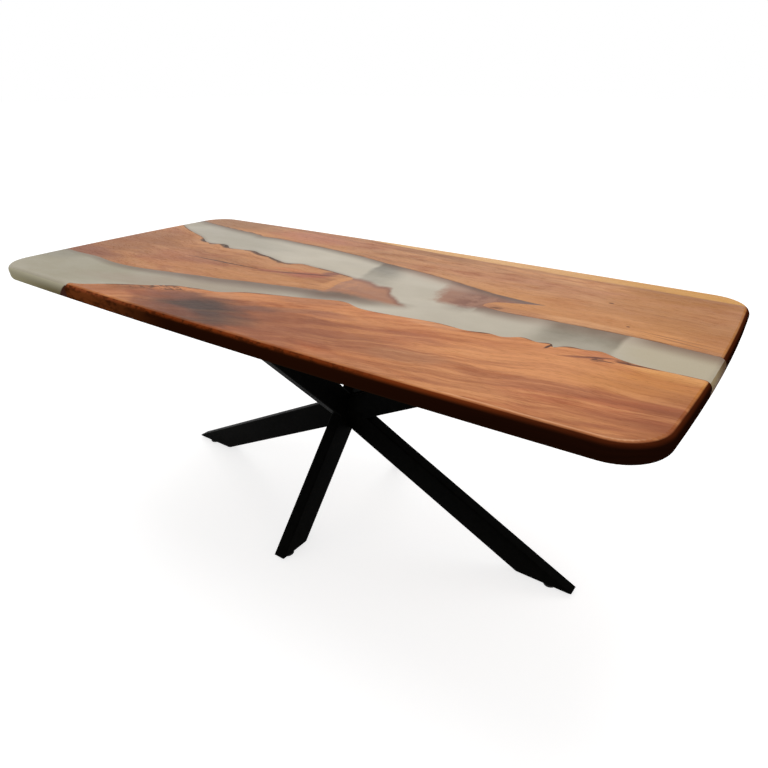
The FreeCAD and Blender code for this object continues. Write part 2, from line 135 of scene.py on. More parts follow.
REAR_LINE: tuple[Point, ...] = (
    (-1.0, 0.341), (-0.875, 0.315), (-0.753, 0.297), (-0.612, 0.280), (-0.562, 0.268), (-0.500, 0.272),
    (-0.401, 0.266), (-0.250, 0.257), (-0.187, 0.248), (-0.110, 0.238), (0.002, 0.214), (0.080, 0.201),
    (0.151, 0.189), (0.250, 0.168), (0.347, 0.143), (0.409, 0.126), (0.434, 0.112), (0.442, 0.020),
    (0.470, 0.015), (0.500, 0.008), (0.560, 0.009), (0.652, 0.015), (0.797, 0.016), (0.857, 0.014),
    (0.898, 0.010), (1.0, 0.0),
)
REAR_LEDGE_LINE: tuple[Point, ...] = (
    (0.270, -0.004), (0.325, -0.004), (0.342, -0.012), (0.385, -0.012), (0.420, -0.010), (0.445, 0.006),
    (0.470, 0.018),
)
SAPWOOD_LINE: tuple[Point, ...] = (
    (-1.0, 0.475), (-0.300, 0.452), (-0.120, 0.416), (0.040, 0.404), (0.300, 0.390), (0.560, 0.382),
    (0.760, 0.376), (1.0, 0.368),
)

# Where the wood goes on under the resin between the rear slab and its tongue.
WEDGE_LINE: tuple[Point, ...] = (
    (0.260, 0.166), (0.347, 0.143), (0.409, 0.126), (0.463, 0.118), (0.513, 0.111), (0.580, 0.107),
)

# Run of the grain and of the flames in the front slab, and of the grain in the rear one.
FRONT_SWEEP: tuple[Point, ...] = (
    (-0.62, -0.44), (-0.20, -0.25), (0.0, -0.165), (0.30, -0.065), (0.60, 0.005), (0.80, 0.03), (1.0, 0.05),
)
FLAME_SWEEP: tuple[Point, ...] = (
    (-0.62, -0.44), (-0.20, -0.26), (0.0, -0.165), (0.30, -0.03), (0.60, 0.07), (0.80, 0.115), (1.0, 0.14),
)
REAR_SWEEP: tuple[Point, ...] = ((-1.0, 0.34), (-0.40, 0.26), (0.10, 0.19), (0.45, 0.12), (1.0, 0.09))

# Width and strength of the resin's shade under the middle slab's lower edge.
SHADE_REACH: tuple[Point, ...] = (
    (-1.0, 0.026), (-0.70, 0.036), (-0.45, 0.054), (-0.20, 0.072), (0.0, 0.090), (0.08, 0.122), (0.16, 0.090),
    (0.25, 0.050), (0.32, 0.020),
)
SHADE_STRENGTH: tuple[Point, ...] = (
    (-1.0, 0.40), (-0.60, 0.58), (-0.30, 0.78), (-0.05, 0.78), (0.08, 0.88), (0.16, 0.78), (0.24, 0.42),
    (0.32, 0.0),
)


def srgb(red: float, green: float, blue: float) -> Colour:
    """Linear colour of a display colour.

    Args:
        red: its red, from 0 to 255.
        green: its green.
        blue: its blue.

    Returns:
        The linear colour, opaque.
    """
    parts = [c / 255 for c in (red, green, blue)]
    linear = [c / 12.92 if c <= 0.04045 else ((c + 0.055) / 1.055) ** 2.4 for c in parts]
    return (*linear, 1.0)


class NodeSketch:
    """Short calls that lay out one shader node tree."""

    def __init__(self, tree: Tree) -> None:
        """Starts on a tree and empties it."""
        tree.nodes.clear()
        self.tree = tree

    def add(self, kind: str, **settings: object) -> Node:
        """Adds a node.

        Args:
            kind: the node's type, without its ShaderNode prefix.
            settings: properties to set on it.

        Returns:
            The new node.
        """
        node = self.tree.nodes.new("ShaderNode" + kind)
        for name, value in settings.items():
            setattr(node, name, value)
        return node

    def feed(self, socket: Socket, value: Feed) -> None:
        """Links a socket to another socket, or sets it to a plain value.

        Args:
            socket: the input to feed.
            value: the other socket, or the value.
        """
        if isinstance(value, Socket):
            self.tree.links.new(value, socket)
        else:
            socket.default_value = value

    def math(self, operation: str, first: Feed, second: Feed = 0.0) -> Socket:
        """Combines two numbers.

        Args:
            operation: the Math node's operation.
            first: its first number.
            second: its second number.

        Returns:
            The result.
        """
        node = self.add("Math", operation=operation)
        self.feed(node.inputs[0], first)
        self.feed(node.inputs[1], second)
        return node.outputs[0]

    def plus(self, first: Feed, second: Feed) -> Socket:
        """Adds two numbers."""
        return self.math("ADD", first, second)

    def minus(self, first: Feed, second: Feed) -> Socket:
        """Takes the second number from the first."""
        return self.math("SUBTRACT", first, second)

    def product(self, *factors: Feed) -> Socket:
        """Multiplies several numbers.

        Args:
            factors: the numbers.

        Returns:
            Their product.
        """
        result = factors[0]
        for factor in factors[1:]:
            result = self.math("MULTIPLY", result, factor)
        return result

    def fade(self, value: Feed, low: Feed, high: Feed, start: float = 0.0, end: float = 1.0) -> Socket:
        """Eases a number from start, where the value is low, to end, where it is high.

        Args:
            value: the number to read.
            low: value at which the result is start.
            high: value at which the result is end; it may be below low.
            start: result at low.
            end: result at high.

        Returns:
            The eased number.
        """
        node = self.add("MapRange", interpolation_type="SMOOTHSTEP")
        for index, item in enumerate((value, low, high, start, end)):
            self.feed(node.inputs[index], item)
        return node.outputs[0]

    def mix(self, factor: Feed, first: Feed, second: Feed, blend: str = "MIX") -> Socket:
        """Mixes two colours.

        Args:
            factor: share of the second colour.
            first: colour below.
            second: colour above.
            blend: the Mix node's blend type.

        Returns:
            The mixed colour.
        """
        node = self.add("Mix", data_type="RGBA", blend_type=blend)
        self.feed(node.inputs[0], factor)
        self.feed(node.inputs[6], first)
        self.feed(node.inputs[7], second)
        return node.outputs[2]

    def noise(self, vector: Feed, scale: float, detail: float = 2.0, roughness: float = 0.5) -> Socket:
        """Soft noise from 0 to 1.

        Args:
            vector: where the noise is read.
            scale: cells per metre of that vector.
            detail: finer layers on top.
            roughness: how strong these are.

        Returns:
            The noise.
        """
        node = self.add("TexNoise")
        self.feed(node.inputs["Vector"], vector)
        node.inputs["Scale"].default_value = scale
        node.inputs["Detail"].default_value = detail
        node.inputs["Roughness"].default_value = roughness
        return node.outputs[0]

    def ramp(self, value: Feed, stops: Sequence[tuple[float, Colour]]) -> Socket:
        """Colour along a ramp.

        Args:
            value: place on the ramp.
            stops: places and their colours, in order.

        Returns:
            The colour.
        """
        node = self.add("ValToRGB")
        elements = node.color_ramp.elements
        elements.remove(elements[1])
        elements[0].position, elements[0].color = stops[0]
        for place, colour in stops[1:]:
            elements.new(place).color = colour
        self.feed(node.inputs[0], value)
        return node.outputs[0]

    def darken(self, below: Feed, value: Feed, stops: Sequence[tuple[float, Colour]]) -> Socket:
        """Multiplies a colour by the colour along a ramp.

        Args:
            below: colour to darken.
            value: place on the ramp.
            stops: places and their colours, in order.

        Returns:
            The darkened colour.
        """
        return self.mix(1.0, below, self.ramp(value, stops), "MULTIPLY")

    def line(self, x: Feed, points: Sequence[Point]) -> Socket:
        """Height of a smooth line in plan.

        Args:
            x: place along the table.
            points: points of the line, from left to right, within half a metre of the middle.

        Returns:
            The line's y at x.
        """
        first, last = points[0][0], points[-1][0]
        spread = self.add("MapRange")
        for index, item in enumerate((x, first, last)):
            self.feed(spread.inputs[index], item)
        node = self.add("FloatCurve")
        curve = node.mapping.curves[0]
        node.mapping.use_clip = False
        curve.points[0].location = (0.0, points[0][1] + CURVE_MIDDLE)
        curve.points[1].location = (1.0, points[-1][1] + CURVE_MIDDLE)
        for px, py in points[1:-1]:
            curve.points.new((px - first) / (last - first), py + CURVE_MIDDLE)
        for point in curve.points:
            point.handle_type = "AUTO_CLAMPED"
        node.mapping.update()
        self.feed(node.inputs["Value"], spread.outputs[0])
        return self.minus(node.outputs[0], CURVE_MIDDLE)

    def vector(self, x: Feed, y: Feed, z: Feed) -> Socket:
        """Puts a vector together.

        Args:
            x: its first part.
            y: its second part.
            z: its third part.

        Returns:
            The vector.
        """
        node = self.add("CombineXYZ")
        for socket, part in zip(node.inputs, (x, y, z)):
            self.feed(socket, part)
        return node.outputs[0]

    def scaled(self, vector: Feed, x: float, y: float, z: float) -> Socket:
        """Multiplies each part of a vector.

        Args:
            vector: the vector.
            x: factor of its first part.
            y: factor of its second part.
            z: factor of its third part.

        Returns:
            The longer or shorter vector.
        """
        node = self.add("VectorMath", operation="MULTIPLY")
        self.feed(node.inputs[0], vector)
        node.inputs[1].default_value = (x, y, z)
        return node.outputs[0]

    def split(self, vector: Feed) -> tuple[Socket, Socket, Socket]:
        """Takes a vector apart.

        Args:
            vector: the vector.

        Returns:
            Its three parts.
        """
        node = self.add("SeparateXYZ")
        self.feed(node.inputs[0], vector)
        return node.outputs[0], node.outputs[1], node.outputs[2]

    def position(self) -> Socket:
        """Object coordinates of the piece, which are metres in the shared frame."""
        return self.add("TexCoord").outputs["Object"]

    def use(self, effect: "Effect", values: dict[str, Feed]) -> Node:
        """Places a shared shader group and feeds its inputs by name.

        Args:
            effect: which of the shared groups.
            values: its inputs.

        Returns:
            The group's node.
        """
        node = self.add("Group", node_tree=SHELF.get(effect))
        for name, value in values.items():
            self.feed(node.inputs[name], value)
        return node

    def bump(self, height: Feed, strength: float, distance: float) -> Socket:
        """A normal from a height.

        Args:
            height: height over the surface, from 0 to 1.
            strength: how much of it shows.
            distance: the depth of one unit, in metres.

        Returns:
            The normal.
        """
        node = self.add("Bump")
        node.inputs["Strength"].default_value = strength
        node.inputs["Distance"].default_value = distance
        self.feed(node.inputs["Height"], height)
        return node.outputs["Normal"]


class Effect(Enum):
    """Shader groups that more than one finish uses."""

    GRAIN = "wood_grain"
    PATCH = "soft_patch"
    LINES = "live_edge_lines"
    HANDLING = "handling_marks"


class EffectShelf:
    """Builds each shared shader group once and hands it out."""

    def __init__(self) -> None:
        """Starts with no group built."""
        self.groups: dict[Effect, Tree] = {}

    def get(self, effect: Effect) -> Tree:
        """Gives a group, built on first use.

        Args:
            effect: which group.

        Returns:
            The group's tree.
        """
        if effect not in self.groups:
            builders = {
                Effect.GRAIN: self.grain,
                Effect.PATCH: self.patch,
                Effect.LINES: self.lines,
                Effect.HANDLING: self.handling,
            }
            self.groups[effect] = builders[effect](effect.value)
        return self.groups[effect]

    @staticmethod
    def start(
        name: str, inputs: dict[str, str], outputs: Sequence[str]
    ) -> tuple[NodeSketch, Sockets, Sockets]:
        """Opens a new group.

        Args:
            name: the group's name.
            inputs: its inputs and their kinds, Float or Vector.
            outputs: its outputs, all numbers.

        Returns:
            The sketch on its tree, its input sockets and its output sockets.
        """
        tree = bpy.data.node_groups.new(name, "ShaderNodeTree")
        for label, kind in inputs.items():
            tree.interface.new_socket(name=label, in_out="INPUT", socket_type="NodeSocket" + kind)
        for label in outputs:
            tree.interface.new_socket(name=label, in_out="OUTPUT", socket_type="NodeSocketFloat")
        sketch = NodeSketch(tree)
        entry = tree.nodes.new("NodeGroupInput")
        leave = tree.nodes.new("NodeGroupOutput")
        return sketch, entry.outputs, leave.inputs

    def grain(self, name: str) -> Tree:
        """Wood grain: broad figure, growth bands, streaks, fibres and pores, drawn out along the grain.

        Args:
            name: the group's name.

        Returns:
            The group's tree.
        """
        sketch, entry, leave = self.start(
            name,
            {"Along": "Float", "Across": "Float", "Depth": "Float", "Seed": "Float"},
            ("Figure", "Bands", "Streaks", "Fibres", "Pores"),
        )
        start = sketch.plus(entry["Along"], entry["Seed"])
        drift = sketch.noise(sketch.vector(start, entry["Across"], entry["Seed"]), 3.0, 2.0)
        sway = sketch.product(sketch.minus(drift, 0.5), 0.09)
        across = sketch.plus(entry["Across"], sway)
        place = sketch.vector(start, across, entry["Depth"])
        figure = sketch.noise(sketch.scaled(place, 1.1, 10.0, 10.0), 1.0, 3.0, 0.55)
        ripple = sketch.noise(sketch.vector(start, across, entry["Depth"]), 8.0, 2.0)
        wavy = sketch.plus(across, sketch.product(sketch.minus(ripple, 0.5), 0.034))
        curl = sketch.vector(start, wavy, entry["Depth"])
        bands = sketch.noise(sketch.scaled(curl, 2.2, 36.0, 36.0), 1.0, 3.0, 0.6)
        streaks = sketch.noise(sketch.scaled(place, 4.5, 170.0, 170.0), 1.0, 3.0, 0.6)
        fibres = sketch.noise(sketch.scaled(place, 26.0, 1300.0, 1300.0), 1.0, 2.0, 0.5)
        pores = sketch.noise(sketch.scaled(place, 55.0, 760.0, 760.0), 1.0, 1.0, 0.4)
        sketch.feed(leave["Figure"], sketch.fade(figure, 0.30, 0.70))
        sketch.feed(leave["Bands"], sketch.fade(bands, 0.28, 0.72))
        sketch.feed(leave["Streaks"], sketch.fade(streaks, 0.30, 0.70))
        sketch.feed(leave["Fibres"], fibres)
        sketch.feed(leave["Pores"], sketch.fade(pores, 0.60, 0.68))
        return sketch.tree

    def patch(self, name: str) -> Tree:
        """A soft oval patch in plan, with a wavering edge, that can break up into specks.

        Args:
            name: the group's name.

        Returns:
            The group's tree.
        """
        sketch, entry, leave = self.start(
            name,
            {
                "Position": "Vector",
                "Centre": "Vector",
                "Half size": "Vector",
                "Turn": "Float",
                "Edge": "Float",
                "Wobble": "Float",
                "Breakup": "Float",
            },
            ("Mask",),
        )
        offset = sketch.add("VectorMath", operation="SUBTRACT")
        sketch.feed(offset.inputs[0], entry["Position"])
        sketch.feed(offset.inputs[1], entry["Centre"])
        turn = sketch.add("VectorRotate", rotation_type="Z_AXIS")
        sketch.feed(turn.inputs["Vector"], sketch.scaled(offset.outputs[0], 1.0, 1.0, 0.0))
        sketch.feed(turn.inputs["Angle"], sketch.math("MULTIPLY", entry["Turn"], -1.0))
        share = sketch.add("VectorMath", operation="DIVIDE")
        sketch.feed(share.inputs[0], turn.outputs[0])
        sketch.feed(share.inputs[1], entry["Half size"])
        length = sketch.add("VectorMath", operation="LENGTH")
        sketch.feed(length.inputs[0], share.outputs[0])
        stretched = sketch.scaled(entry["Position"], 0.5, 1.6, 1.0)
        waver = sketch.minus(sketch.noise(stretched, 26.0, 3.0, 0.6), 0.5)
        reach = sketch.plus(length.outputs["Value"], sketch.product(waver, entry["Wobble"]))
        inner = sketch.minus(1.0, entry["Edge"])
        outer = sketch.plus(1.0, entry["Edge"])
        body = sketch.fade(reach, outer, inner)
        specks = sketch.fade(sketch.noise(stretched, 95.0, 2.0, 0.6), 0.50, 0.60)
        kept = sketch.minus(1.0, sketch.product(entry["Breakup"], sketch.minus(1.0, specks)))
        sketch.feed(leave["Mask"], sketch.product(body, kept))
        return sketch.tree

    def lines(self, name: str) -> Tree:
        """The y of each live edge at a place along the table.

        Args:
            name: the group's name.

        Returns:
            The group's tree.
        """
        outlines = {
            "Front": FRONT_LINE,
            "Middle lower": MIDDLE_LOWER_LINE,
            "Middle upper": MIDDLE_UPPER_LINE,
            "Rear": REAR_LINE,
        }
        sketch, entry, leave = self.start(name, {"X": "Float"}, tuple(outlines))
        for label, points in outlines.items():
            sketch.feed(leave[label], sketch.line(entry["X"], points))
        return sketch.tree

    def handling(self, name: str) -> Tree:
        """Faint marks of use: smears from wiping, fine scratches, and dust that gathers near the floor.

        Args:
            name: the group's name.

        Returns:
            The group's tree.
        """
        sketch, entry, leave = self.start(name, {"Position": "Vector"}, ("Smears", "Scratches", "Dust"))
        smears = sketch.noise(sketch.scaled(entry["Position"], 1.0, 2.2, 1.0), 7.0, 4.0, 0.65)
        hair = sketch.noise(sketch.scaled(entry["Position"], 14.0, 420.0, 420.0), 1.0, 2.0, 0.5)
        height = sketch.split(entry["Position"])[2]
        grit = sketch.noise(entry["Position"], 160.0, 3.0, 0.7)
        sketch.feed(leave["Smears"], sketch.fade(smears, 0.35, 0.70))
        sketch.feed(leave["Scratches"], sketch.fade(hair, 0.62, 0.74))
        dust = sketch.product(sketch.fade(height, 0.16, 0.0), sketch.fade(grit, 0.40, 0.65))
        sketch.feed(leave["Dust"], dust)
        return sketch.tree


SHELF = EffectShelf()


def open_material(
    name: str, specular: float = 0.5, metallic: float = 0.0
) -> tuple[Material, NodeSketch, Node]:
    """Starts a material on a Principled shader.

    Args:
        name: the material's name.
        specular: the shader's specular level, the same all over the surface.
        metallic: how metallic it is, also all over.

    Returns:
        The material, the sketch on its tree and the shader.
    """
    material = bpy.data.materials.new(name)
    material.use_nodes = True
    sketch = NodeSketch(material.node_tree)
    shader = sketch.add("BsdfPrincipled")
    output = sketch.add("OutputMaterial")
    sketch.feed(output.inputs["Surface"], shader.outputs["BSDF"])
    shader.inputs["Specular IOR Level"].default_value = specular
    shader.inputs["Metallic"].default_value = metallic
    return material, sketch, shader


@dataclass(frozen=True)
class Patch:
    """A soft patch of another colour, by its place and size in plan."""

    centre: Point
    half: Point
    colour: Colour
    strength: float
    turn: float = 0.0
    edge: float = 0.45
    wobble: float = 0.8
    breakup: float = 0.0

    def lay(self, sketch: NodeSketch, position: Socket, below: Socket) -> Socket:
        """Lays the patch over a colour.

        Args:
            sketch: the material's sketch.
            position: coordinates of the surface.
            below: colour that the patch covers.

        Returns:
            The colour with the patch on it.
        """
        node = sketch.use(
            Effect.PATCH,
            {
                "Position": position,
                "Centre": (*self.centre, 0.0),
                "Half size": (*self.half, 1.0),
                "Turn": math.radians(self.turn),
                "Edge": self.edge,
                "Wobble": self.wobble,
                "Breakup": self.breakup,
            },
        )
        return sketch.mix(sketch.product(node.outputs["Mask"], self.strength), below, self.colour)


class Slab(Enum):
    """The three slabs of the top."""

    FRONT = "front_slab"
    MIDDLE = "middle_slab"
    REAR = "rear_slab"


@dataclass(frozen=True)
class Bark:
    """Bark left on a live edge: where it starts and ends along the table, and how far it reaches in."""

    start: float
    end: float
    reach: float
    strength: float
    # Strength of the soft painted shade on the wood along the edge.
    edge: float = 0.0
    thin: float = 0.0045


@dataclass(frozen=True)
class WoodFinish:
    """Oiled wood of one slab, with its own colours, figure and marks."""

    slab: Slab
    dark: Colour
    middle: Colour
    light: Colour
    rosy: Colour
    edge_glow: Colour
    bark: Bark
    patches: tuple[Patch, ...]
    seed: float
    side_dark: Colour = srgb(30, 12, 5)
    # Painted reflection of the floor on the foot of the sides.
    side_floor_reflection: Colour = srgb(52, 32, 20)
    # Painted highlight of the upper rim over the dark stain; near_warm and left_warm make it warmer towards
    # the left of the near side.
    side_warm: Colour = srgb(80, 33, 13)
    near_warm: Colour = srgb(124, 54, 20)
    near_side: Colour = srgb(40, 16, 5)
    left_warm: Colour = srgb(140, 70, 38)
    left_side: Colour = srgb(114, 58, 26)
    bark_colour: Colour = srgb(58, 42, 36)
    sapwood: Colour = srgb(231, 184, 126)
    sapwood_right: Colour = srgb(212, 157, 76)
    flame_dark: Colour = srgb(146, 82, 56)
    flame_light: Colour = srgb(228, 162, 108)
    # Colour of the painted highlight along the near rim.
    rim_highlight: Colour = srgb(236, 180, 138)

    def flow(self, sketch: NodeSketch, x: Socket, y: Socket, lines: Node) -> tuple[Socket, Socket]:
        """Finds how the grain runs beside the live edge.

        Args:
            sketch: the material's sketch.
            x: place along the table.
            y: place across it.
            lines: the live edges at x.

        Returns:
            The place across the grain, and the distance in from the live edge.
        """
        if self.slab is Slab.FRONT:
            inside = sketch.minus(lines.outputs["Front"], y)
            follow = sketch.fade(inside, 0.0, 0.30, 1.0, 0.6)
            sweep = sketch.product(sketch.line(x, FRONT_SWEEP), follow)
            return sketch.minus(y, sweep), inside
        if self.slab is Slab.REAR:
            inside = sketch.minus(y, lines.outputs["Rear"])
            sweep = sketch.product(sketch.line(x, REAR_SWEEP), 0.55)
            return sketch.minus(y, sweep), inside
        above = sketch.minus(lines.outputs["Middle upper"], y)
        below = sketch.minus(y, lines.outputs["Middle lower"])
        width = sketch.math("MAXIMUM", sketch.plus(above, below), 0.10)
        across = sketch.product(sketch.math("DIVIDE", below, width), 0.24)
        return across, above

    def material(self) -> Material:
        """Builds the material of the flat upper face and underside.

        Returns:
            The finished material.
        """
        material, sketch, shader = open_material(f"{self.slab.value}_wood", specular=0.060)
        position = sketch.position()
        grain, colour = self.face_colour(sketch, position)
        sketch.feed(shader.inputs["Base Color"], colour)
        marks = sketch.use(Effect.HANDLING, {"Position": position})
        rough = sketch.plus(0.42, sketch.product(marks.outputs["Smears"], 0.08))
        rough = sketch.plus(rough, sketch.product(grain.outputs["Pores"], 0.20))
        rough = sketch.plus(rough, sketch.product(marks.outputs["Scratches"], 0.06))
        sketch.feed(shader.inputs["Roughness"], rough)
        fibres = sketch.product(grain.outputs["Fibres"], 0.5)
        relief = sketch.minus(fibres, sketch.product(grain.outputs["Pores"], 0.8))
        sketch.feed(shader.inputs["Normal"], sketch.bump(relief, 0.20, 0.0003))
        return material

    def face_colour(self, sketch: NodeSketch, position: Socket) -> tuple[Node, Socket]:
        """Colours the bare wood.

        Args:
            sketch: the material's sketch.
            position: coordinates of the surface.

        Returns:
            The slab's grain, and the colour.
        """
        x, y, z = sketch.split(position)
        lines = sketch.use(Effect.LINES, {"X": x})
        across, inside = self.flow(sketch, x, y, lines)
        grain = sketch.use(Effect.GRAIN, {"Along": x, "Across": across, "Depth": z, "Seed": self.seed})
        colour = self.lay_figure(sketch, position, inside, grain)
        for patch in self.patches:
            colour = patch.lay(sketch, position, colour)
        if self.slab is Slab.FRONT:
            colour = self.lay_flames(sketch, x, y, z, colour)
        if self.slab is Slab.REAR:
            colour = self.lay_sapwood(sketch, x, y, grain, colour)
        colour = self.lay_fibres(sketch, grain, colour)
        return grain, self.lay_bark(sketch, position, inside, colour)

    def side_material(self) -> Material:
        """Builds the material of the rounded rims and the outer sides: a painted highlight, warm on the rim,
        over a stain that is near black below.

        Returns:
            The finished material.
        """
        material, sketch, shader = open_material(f"{self.slab.value}_side", specular=0.0)
        position = sketch.position()
        x, y, z = sketch.split(position)
        along = sketch.plus(x, y)
        grain = sketch.use(Effect.GRAIN, {"Along": along, "Across": z, "Depth": 0.0, "Seed": self.seed})
        warm = self.rim_colour(sketch, position, grain)
        deep = sketch.mix(sketch.product(grain.outputs["Streaks"], 0.05), self.side_dark, self.side_warm)
        if self.slab is Slab.FRONT:
            deep = sketch.mix(sketch.fade(x, 0.70, 0.30), deep, self.near_side)
            uneven = sketch.noise(sketch.scaled(position, 1.0, 1.0, 2.6), 15.0, 4.0, 0.65)
            bare = sketch.product(sketch.fade(x, -0.12, -0.50), sketch.fade(uneven, 0.34, 0.56, 0.25, 1.0))
            deep = sketch.mix(bare, deep, self.left_side)
        # Painted reflection of the floor: the sides lighter towards their foot.
        deep = sketch.mix(sketch.fade(z, FLOOR_REFLECTION_TOP, FLOOR_REFLECTION_LOW, 0.0, 0.55), deep, self.side_floor_reflection)
        # The painted highlight of the upper rim gives way to the dark stain lower down.
        stain = sketch.mix(sketch.fade(z, RIM_WARM, RIM_DEEP), warm, deep)
        rim = sketch.fade(z, RIM_BARE, RIM_STAINED)
        under = sketch.fade(z, UNDER_BARE, UNDER_STAINED)
        colour = sketch.mix(sketch.product(rim, under), self.face_colour(sketch, position)[1], stain)
        sketch.feed(shader.inputs["Base Color"], colour)
        marks = sketch.use(Effect.HANDLING, {"Position": position})
        rough = sketch.plus(0.46, sketch.product(marks.outputs["Smears"], 0.12))
        sketch.feed(shader.inputs["Roughness"], rough)
        relief = sketch.plus(grain.outputs["Fibres"], sketch.product(grain.outputs["Streaks"], 0.6))
        sketch.feed(shader.inputs["Normal"], sketch.bump(relief, 0.25, 0.0004))
        return material

    def rim_colour(self, sketch: NodeSketch, position: Socket, grain: Node) -> Socket:
        """Colours the rounded rim with a painted highlight, warm over the dark stain of the sides.

        Args:
            sketch: the material's sketch.
            position: coordinates of the surface.
            grain: the slab's grain.

        Returns:
            The colour.
        """
        warm = sketch.mix(sketch.product(grain.outputs["Streaks"], 0.4), self.side_warm, self.side_dark)
        if self.slab is not Slab.FRONT:
            return warm
        shift = sketch.product(sketch.minus(grain.outputs["Figure"], 0.5), 0.16)
        place = sketch.plus(sketch.split(position)[0], shift)
        warm = sketch.mix(sketch.fade(place, 0.92, 0.52, 0.0, 0.9), warm, self.near_warm)
        warm = sketch.mix(sketch.fade(place, -0.14, -0.46), warm, self.left_warm)
        # Darker mottling breaks up the painted highlight towards the left of the near rim.
        mottle = sketch.noise(sketch.scaled(position, 1.0, 1.0, 2.0), 52.0, 3.0, 0.65)
        worn = sketch.product(sketch.fade(mottle, 0.44, 0.62), sketch.fade(place, 0.60, 0.30), 0.62)
        return sketch.mix(worn, warm, self.near_side)

    def lay_figure(self, sketch: NodeSketch, position: Socket, inside: Socket, grain: Node) -> Socket:
        """Mixes the broad colours of the wood: figure, growth bands, rosy clouds and a bright live edge.

        Args:
            sketch: the material's sketch.
            position: coordinates of the surface.
            inside: distance in from the live edge.
            grain: the slab's grain.

        Returns:
            The colour.
        """
        figure = sketch.product(grain.outputs["Figure"], 0.62)
        blend = sketch.plus(figure, sketch.product(grain.outputs["Bands"], 0.38))
        colour = sketch.ramp(blend, ((0.08, self.dark), (0.46, self.middle), (0.92, self.light)))
        clouds = sketch.noise(sketch.scaled(position, 1.0, 2.4, 1.0), 3.2 + self.seed * 0.01, 3.0, 0.6)
        colour = sketch.mix(sketch.fade(clouds, 0.44, 0.66, 0.0, 0.62), colour, self.rosy)
        blotches = sketch.noise(sketch.scaled(position, 1.0, 3.2, 1.0), 9.0 + self.seed * 0.01, 4.0, 0.6)
        dapple = ((0.32, srgb(222, 202, 190)), (0.50, srgb(249, 245, 242)), (0.66, WHITE))
        colour = sketch.darken(colour, blotches, dapple)
        lively = sketch.fade(grain.outputs["Bands"], 0.0, 0.7)
        glow = sketch.product(sketch.fade(inside, 0.080, 0.008), lively, 0.60)
        return sketch.mix(glow, colour, self.edge_glow)

    def lay_flames(self, sketch: NodeSketch, x: Socket, y: Socket, z: Socket, below: Socket) -> Socket:
        """Draws the flames of the figure, which climb to the right, and a painted highlight along the near
        rim.

        Args:
            sketch: the material's sketch.
            x: place along the table.
            y: place across it.
            z: height.
            below: the broad colours.

        Returns:
            The colour with the flames on it.
        """
        across = sketch.minus(y, sketch.product(sketch.line(x, FLAME_SWEEP), 0.8))
        seed = self.seed + 40.0
        grain = sketch.use(Effect.GRAIN, {"Along": x, "Across": across, "Depth": z, "Seed": seed})
        bands = grain.outputs["Bands"]
        reach = sketch.product(sketch.fade(x, 0.05, 0.50, 0.12, 1.0), sketch.fade(y, -0.19, -0.29, 0.26, 1.0))
        dark = sketch.product(sketch.fade(bands, 0.40, 0.10), reach, 0.40)
        colour = sketch.mix(dark, below, self.flame_dark)
        light = sketch.product(sketch.fade(bands, 0.48, 0.85), reach, 0.46)
        colour = sketch.mix(light, colour, self.flame_light)
        # Painted highlight along the bend of the near rim, on its right part.
        bend = sketch.product(sketch.fade(z, BEND_START, BEND_FULL), sketch.fade(z, RIM_BARE, BEND_FADING))
        span = sketch.product(
            sketch.fade(x, 0.38, 0.72), sketch.fade(x, 0.985, 0.93), sketch.fade(y, -0.38, -0.41)
        )
        return sketch.mix(sketch.product(bend, span, 0.55), colour, self.rim_highlight)

    def lay_fibres(self, sketch: NodeSketch, grain: Node, below: Socket) -> Socket:
        """Draws the fine streaks, fibres and pores over the broad colours.

        Args:
            sketch: the material's sketch.
            grain: the slab's grain.
            below: the broad colours.

        Returns:
            The colour with its fine grain.
        """
        streaks = ((0.0, srgb(245, 238, 233)), (0.5, srgb(253, 251, 249)), (1.0, WHITE))
        fibres = ((0.30, srgb(245, 242, 239)), (0.65, WHITE))
        colour = sketch.darken(below, grain.outputs["Streaks"], streaks)
        colour = sketch.darken(colour, grain.outputs["Fibres"], fibres)
        return sketch.mix(sketch.product(grain.outputs["Pores"], 0.22), colour, self.bark_colour)

    def lay_sapwood(self, sketch: NodeSketch, x: Socket, y: Socket, grain: Node, below: Socket) -> Socket:
        """Lays the pale band of sapwood along the far side, with a darker line beside it.

        Args:
            sketch: the material's sketch.
            x: place along the table.
            y: place across it.
            grain: the slab's grain.
            below: colour that the band covers.

        Returns:
            The colour with the band on it.
        """
        past = sketch.minus(y, sketch.line(x, SAPWOOD_LINE))
        past = sketch.plus(past, sketch.product(grain.outputs["Bands"], 0.008))
        seam = sketch.product(sketch.fade(past, -0.022, 0.0), sketch.fade(past, 0.010, 0.002), 0.45)
        colour = sketch.mix(seam, below, self.dark)
        tone = sketch.mix(sketch.fade(x, 0.35, 0.85), self.sapwood, self.sapwood_right)
        pale = sketch.mix(sketch.product(grain.outputs["Figure"], 0.30), tone, self.light)
        return sketch.mix(sketch.fade(past, 0.0, 0.012), colour, pale)

